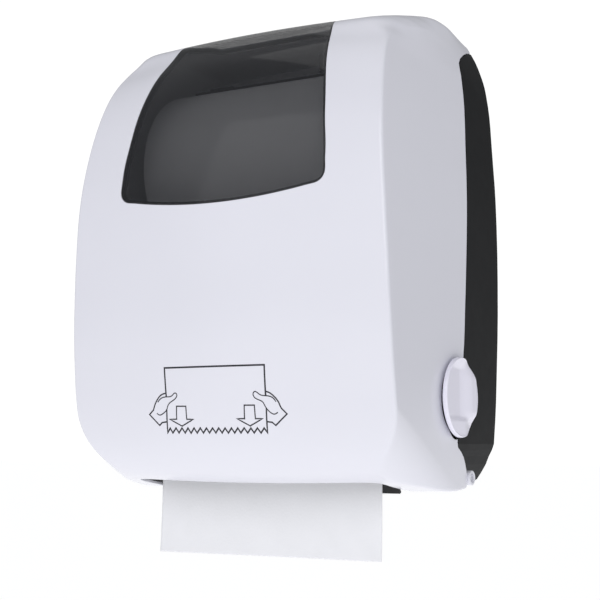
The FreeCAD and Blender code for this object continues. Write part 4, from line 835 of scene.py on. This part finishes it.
# ---- pictogram on the front --------------------------------------------------------------------
def stroke(pts, width=0.85, closed=False, lift=0.0, smooth=False):
    """A thin printed line on the front, given in (x, z)."""
    p = np.array(pts, float)
    if smooth:
        s = np.concatenate(([0.0], np.cumsum(np.hypot(*np.diff(p, axis=0).T))))
        t = np.linspace(0, s[-1], max(8, int(s[-1] / 0.7)))
        p = np.stack((spline(s, p[:, 0])(t), spline(s, p[:, 1])(t)), -1)
    else:
        q = list(map(tuple, p))
        if closed:
            q.append(q[0])
        keep = np.array(q)
        p = divide(q, 4.0)
        if closed:
            p = p[:-1]
    n = len(p)
    nxt = np.roll(p, -1, 0) - p
    prv = p - np.roll(p, 1, 0)
    if not closed:
        nxt[-1], prv[0] = prv[-1], nxt[0]
    nxt /= np.linalg.norm(nxt, axis=1, keepdims=True)
    prv /= np.linalg.norm(prv, axis=1, keepdims=True)
    nn = np.stack((-(nxt + prv)[:, 1], (nxt + prv)[:, 0]), -1)
    nn /= np.maximum(np.linalg.norm(nn, axis=1, keepdims=True), 1e-6)
    c = np.abs((nn * np.stack((-nxt[:, 1], nxt[:, 0]), -1)).sum(1))
    k = (width / 2) / np.maximum(c, 0.45)
    L, R = p + nn * k[:, None], p - nn * k[:, None]
    if not closed:
        for A in (L, R):
            A[0] -= nxt[0] * width * 0.3
            A[-1] += nxt[-1] * width * 0.3
    rows = []
    for A, h in ((L, -0.14), (L, lift), (R, lift), (R, -0.14)):
        d = from_front(A[:, 0], A[:, 1])
        rows.append(surf(d[:, 0], d[:, 1]) + normal(d[:, 0], d[:, 1]) * h)
    V = np.concatenate(rows)
    F = []
    for r in range(4):
        a, b = r * n, ((r + 1) % 4) * n
        for i in range(n if closed else n - 1):
            j = (i + 1) % n
            F.append([a + j, a + i, b + i, b + j])
    if not closed:
        F.append([0, n, 2 * n, 3 * n])
        F.append([4 * n - 1, 3 * n - 1, 2 * n - 1, n - 1])
    return V, F


# outline and torn edge of the towel, two arrows, and a pair of plain hands: places in (x, z), width, closed, curved
LINES = (
    ([(-47.4, -119.2), (-47.6, -97.8), (41.3, -97.9), (41, -120.2)], 1.15, False, False),
    ([(-48, -129.2), (-50.1, -146.6), (-47, -143.2), (-45.3, -146.8), (-41.5, -143.1), (-39.5, -146.8),
     (-35.9, -143.1), (-33.7, -146.8), (-30.3, -143.2), (-28.3, -147), (-24.7, -143.2), (-22.6, -146.9),
     (-19, -143.2), (-16.9, -146.9), (-13.4, -143.3), (-11.4, -146.9), (-7.9, -143.3), (-5.7, -146.9),
     (-2.4, -143.3), (-0.1, -146.9), (3.2, -143.4), (5.4, -147), (8.8, -143.4), (10.9, -147), (14.3, -143.4),
     (16.3, -147), (19.8, -143.4), (22.2, -147), (25.6, -143.5), (27.7, -147), (31.1, -143.5), (33.5, -147.1),
     (36.8, -143.5), (39, -146.9), (40.7, -129.3)], 1.05, False, False),
    ([(-38.5, -126.8), (-29.8, -126.9), (-30.3, -136.6), (-24.2, -136.7), (-35.5, -141.7), (-46.2, -136.5),
     (-39.7, -136.5)], 0.85, True, False),
    ([(22.2, -126.8), (30.9, -126.9), (30.5, -136.7), (36.6, -136.7), (25.3, -141.9), (14.8, -136.6), (21.3, -136.6)], 0.85, True, False),
    ([(-47.4, -116.8), (-50.6, -117.5), (-53.4, -118.9), (-56.1, -121.5), (-58.2, -124.2), (-59.4, -126.3),
     (-60.9, -129.4)], 0.95, False, True),
    ([(-60.9, -129.4), (-65.2, -132.7), (-56.7, -141), (-53.9, -138.9), (-49.5, -138.4)], 0.95, False, False),
    ([(-55.8, -123.3), (-53.1, -121), (-47.5, -119.6), (-41.6, -118.6), (-38.6, -116.8), (-37.3, -117.9),
     (-38.2, -120.3), (-41.6, -122.6), (-45.1, -124.6), (-46.7, -126.5), (-48, -129.2), (-50.4, -131.2),
     (-53.1, -132.7), (-55.4, -133.2), (-57.7, -132)], 0.72, False, True),
    ([(41.3, -117.1), (44.1, -118), (46.9, -119.9), (49.6, -122.6), (51.4, -125.4), (52.5, -128.2), (53.1, -129.4)], 0.95, False, True),
    ([(53.1, -129.4), (57.2, -133.5), (46.8, -141.7), (44.2, -139.4), (40.4, -139)], 0.95, False, False),
    ([(49, -124.5), (47.5, -122.4), (44.7, -120.8), (41, -120.2), (35.9, -119.1), (31.8, -117.1), (30.6, -118.5),
     (31.6, -121.3), (34.7, -123), (38.4, -125), (39.6, -127.3), (41, -129.6), (43.5, -132.1), (46.7, -133.6),
     (49.6, -132.4)], 0.72, False, True),
)
sv, sf, base_ = [], [], 0
for pts_, wide_, closed_, smooth_ in LINES:
    v_, f_ = stroke(pts_, width=wide_ * 1.14, closed=closed_, smooth=smooth_)
    sv.append(v_)
    sf += [[i + base_ for i in q] for q in f_]
    base_ += len(v_)
print_ = add_mesh("instruction_lines", np.concatenate(sv), sf)
paint(print_, M["ink"])
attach(print_, "cover")

# ---- feed knob ---------------------------------------------------------------------------------
def knob_height(y, z):
    """Outer face of the knob: a scoop that ends in a thumb ridge, and a rim that drops away behind the ridge."""
    r = np.hypot(y + 80.0, z + 120.0)
    t = (y + 109.0) / 49.5
    bump = step01((z + 142.0) / 12.0) * (1 - step01((z + 106.0) / 14.0))
    body = 148.1 - 2.9 * step01((y + 77.0) / 20.0) * (1 - bump)
    dish = -2.8 * np.clip(t / 0.6, 0.0, 1.0) + 3.7 * step01((t - 0.58) / 0.38)
    mask = step01((z + 138.2) / 4.0) * (1 - step01((z + 99.0) / 8.0)) * (1 - step01((r - 28.5) / 1.4))
    h = body + mask * np.where(dish > 0, dish * (1 - step01((t - 1.08) / 0.10)), dish)
    h = h + 0.6 * np.exp(-((r - 29.6) / 0.6) ** 2) * (1 - 0.8 * step01((y + 76.0) / 12.0))
    h = h - 1.3 * step01((r - 29.7) / 0.8) ** 2
    return np.clip(h, 145.3, 148.95)


NA = 144
ang = np.linspace(0, 2 * math.pi, NA, endpoint=False)
radii = np.concatenate((np.linspace(0.6, 24.0, 34), np.linspace(24.5, 30.4, 22)))
kv = [np.array([[float(knob_height(np.array(-80.0), np.array(-120.0))), -80.0, -120.0]])]
for r_ in radii:
    y_, z_ = -80.0 + r_ * np.cos(ang), -120.0 + r_ * np.sin(ang)
    kv.append(np.stack((knob_height(y_, z_), y_, z_), -1))
rim_x = kv[-1][:, 0]
for x_, r_ in ((145.9, 30.5), (145.25, 30.4), (144.9, 29.8), (144.55, 28.8), (144.5, 20.0), (144.5, 9.0), (144.2, 8.2), (143.6, 8.0),
               (134.0, 8.0), (133.6, 7.6), (133.6, 4.6), (134.0, 4.3), (134.8, 4.3)):
    kv.append(np.stack((np.minimum(x_, rim_x - 0.05), -80.0 + r_ * np.cos(ang), -120.0 + r_ * np.sin(ang)), -1))
kv.append(np.array([[134.8, -80.0, -120.0]]))
rings = len(kv) - 2
kf = [[0, 1 + k, 1 + (k + 1) % NA] for k in range(NA)]
for i in range(rings - 1):
    a_, b_ = 1 + i * NA, 1 + (i + 1) * NA
    kf += [[a_ + k, b_ + k, b_ + (k + 1) % NA, a_ + (k + 1) % NA] for k in range(NA)]
last = 1 + (rings - 1) * NA
end = 1 + rings * NA
kf += [[last + (k + 1) % NA, last + k, end] for k in range(NA)]
knob = add_mesh("feed_knob_moulded", np.concatenate(kv), kf)
knob.data.set_sharp_from_angle(angle=math.radians(60))
paint(knob, M["white_knob_painted_light"])
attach(knob, "drum")
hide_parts("feed_knob")

# ---- towel tail --------------------------------------------------------------------------------
def towel_tail():
    nx, nz = 121, 44
    xs, zs = np.linspace(-100.0, 100.0, nx), np.linspace(-178.0, -241.9, nz)
    X, Z = np.meshgrid(xs, zs)
    d = (-178.0 - Z) / 64.0
    wave = 0.9 * np.sin(X / 100.0 * 2.1 + 0.5) * d + 0.45 * np.sin(X / 23.0 + 1.3 * d) * d
    curl = -1.6 * d ** 2.2 + 0.35 * np.cos(X / 100.0 * math.pi * 1.3) * d
    Y = -120.25 + wave + curl
    Z = Z + 0.25 * np.abs(((X + 100.0) % 5.0) / 2.5 - 1.0) * (np.arange(nz)[:, None] == nz - 1)
    V = np.stack((X, Y, Z), -1).reshape(-1, 3)
    F = [[i * nx + j, (i + 1) * nx + j, (i + 1) * nx + j + 1, i * nx + j + 1] for i in range(nz - 1) for j in range(nx - 1)]
    return V, F


tv, tf = towel_tail()
tail = add_mesh("towel_tail_sheet", tv, tf)
so = tail.modifiers.new("paper_thickness", "SOLIDIFY")
so.thickness = 0.00016
so.offset = 0.0
paint(tail, M["tissue"])
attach(tail, "root")
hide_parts("paper_tail")

# ---- stage, light, camera ----------------------------------------------------------------------
fl = bpy.data.meshes.new("floor")
fl.from_pydata([(-60, -60, -1.25), (60, -60, -1.25), (60, 60, -1.25), (-60, 60, -1.25)], [], [(0, 1, 2, 3)])
floor = bpy.data.objects.new("floor", fl)
scene.collection.objects.link(floor)
fm = bpy.data.materials.new("pale_floor")
fm.use_nodes = True
fb = fm.node_tree.nodes["Principled BSDF"]
fb.inputs["Base Color"].default_value = (0.86, 0.86, 0.87, 1)
fb.inputs["Roughness"].default_value = 0.9
fb.inputs["Emission Color"].default_value = (1, 1, 1, 1)
fb.inputs["Emission Strength"].default_value = 0.71
fl.materials.append(fm)

world = bpy.data.worlds.new("studio")
scene.world = world
world.use_nodes = True
wn_ = world.node_tree
bg = wn_.nodes["Background"]
bg.inputs["Color"].default_value = (0.97, 0.98, 1.0, 1)
bg.inputs["Strength"].default_value = 0.34
bg2 = wn_.nodes.new("ShaderNodeBackground")
bg2.inputs["Color"].default_value = (1, 1, 1, 1)
bg2.inputs["Strength"].default_value = 1.05
lp = wn_.nodes.new("ShaderNodeLightPath")
mx = wn_.nodes.new("ShaderNodeMixShader")
wn_.links.new(lp.outputs["Is Camera Ray"], mx.inputs["Fac"])
wn_.links.new(bg.outputs["Background"], mx.inputs[1])
wn_.links.new(bg2.outputs["Background"], mx.inputs[2])
wn_.links.new(mx.outputs["Shader"], wn_.nodes["World Output"].inputs["Surface"])


def area(name, loc, size, power, target=(0, -0.1, 0), colour=(1, 1, 1)):
    li = bpy.data.lights.new(name, "AREA")
    li.shape = "RECTANGLE"
    li.size, li.size_y = size
    li.energy = power
    li.color = colour
    ob = bpy.data.objects.new(name, li)
    scene.collection.objects.link(ob)
    ob.location = loc
    ob.rotation_mode = "QUATERNION"
    ob.rotation_quaternion = (Vector(target) - Vector(loc)).to_track_quat("-Z", "Y")
    return ob


area("key", (0.75, -1.75, 0.75), (1.3, 1.3), 10.2)
area("front_card", (-0.20, -1.5, 0.3), (1.4, 1.6), 2.6, colour=(0.98, 0.98, 1.0))
area("top_soft", (0.1, -0.3, 1.6), (1.6, 1.2), 2.6)

cam = bpy.data.cameras.new("camera")
cam.sensor_width = 36.0
cam.lens = 80.093
cam.clip_start = 0.05
cam.clip_end = 300.0
cam_ob = bpy.data.objects.new("camera", cam)
scene.collection.objects.link(cam_ob)
cam_ob.location = (0.547641, -1.018020, -0.153612)
az, el = math.radians(30.0), math.radians(6.0721)
look = Vector((-math.sin(az) * math.cos(el), math.cos(az) * math.cos(el), math.sin(el)))
cam_ob.rotation_mode = "QUATERNION"
cam_ob.rotation_quaternion = look.to_track_quat("-Z", "Y")
scene.camera = cam_ob
scene.view_settings.view_transform = "Standard"

bpy.context.view_layer.update()
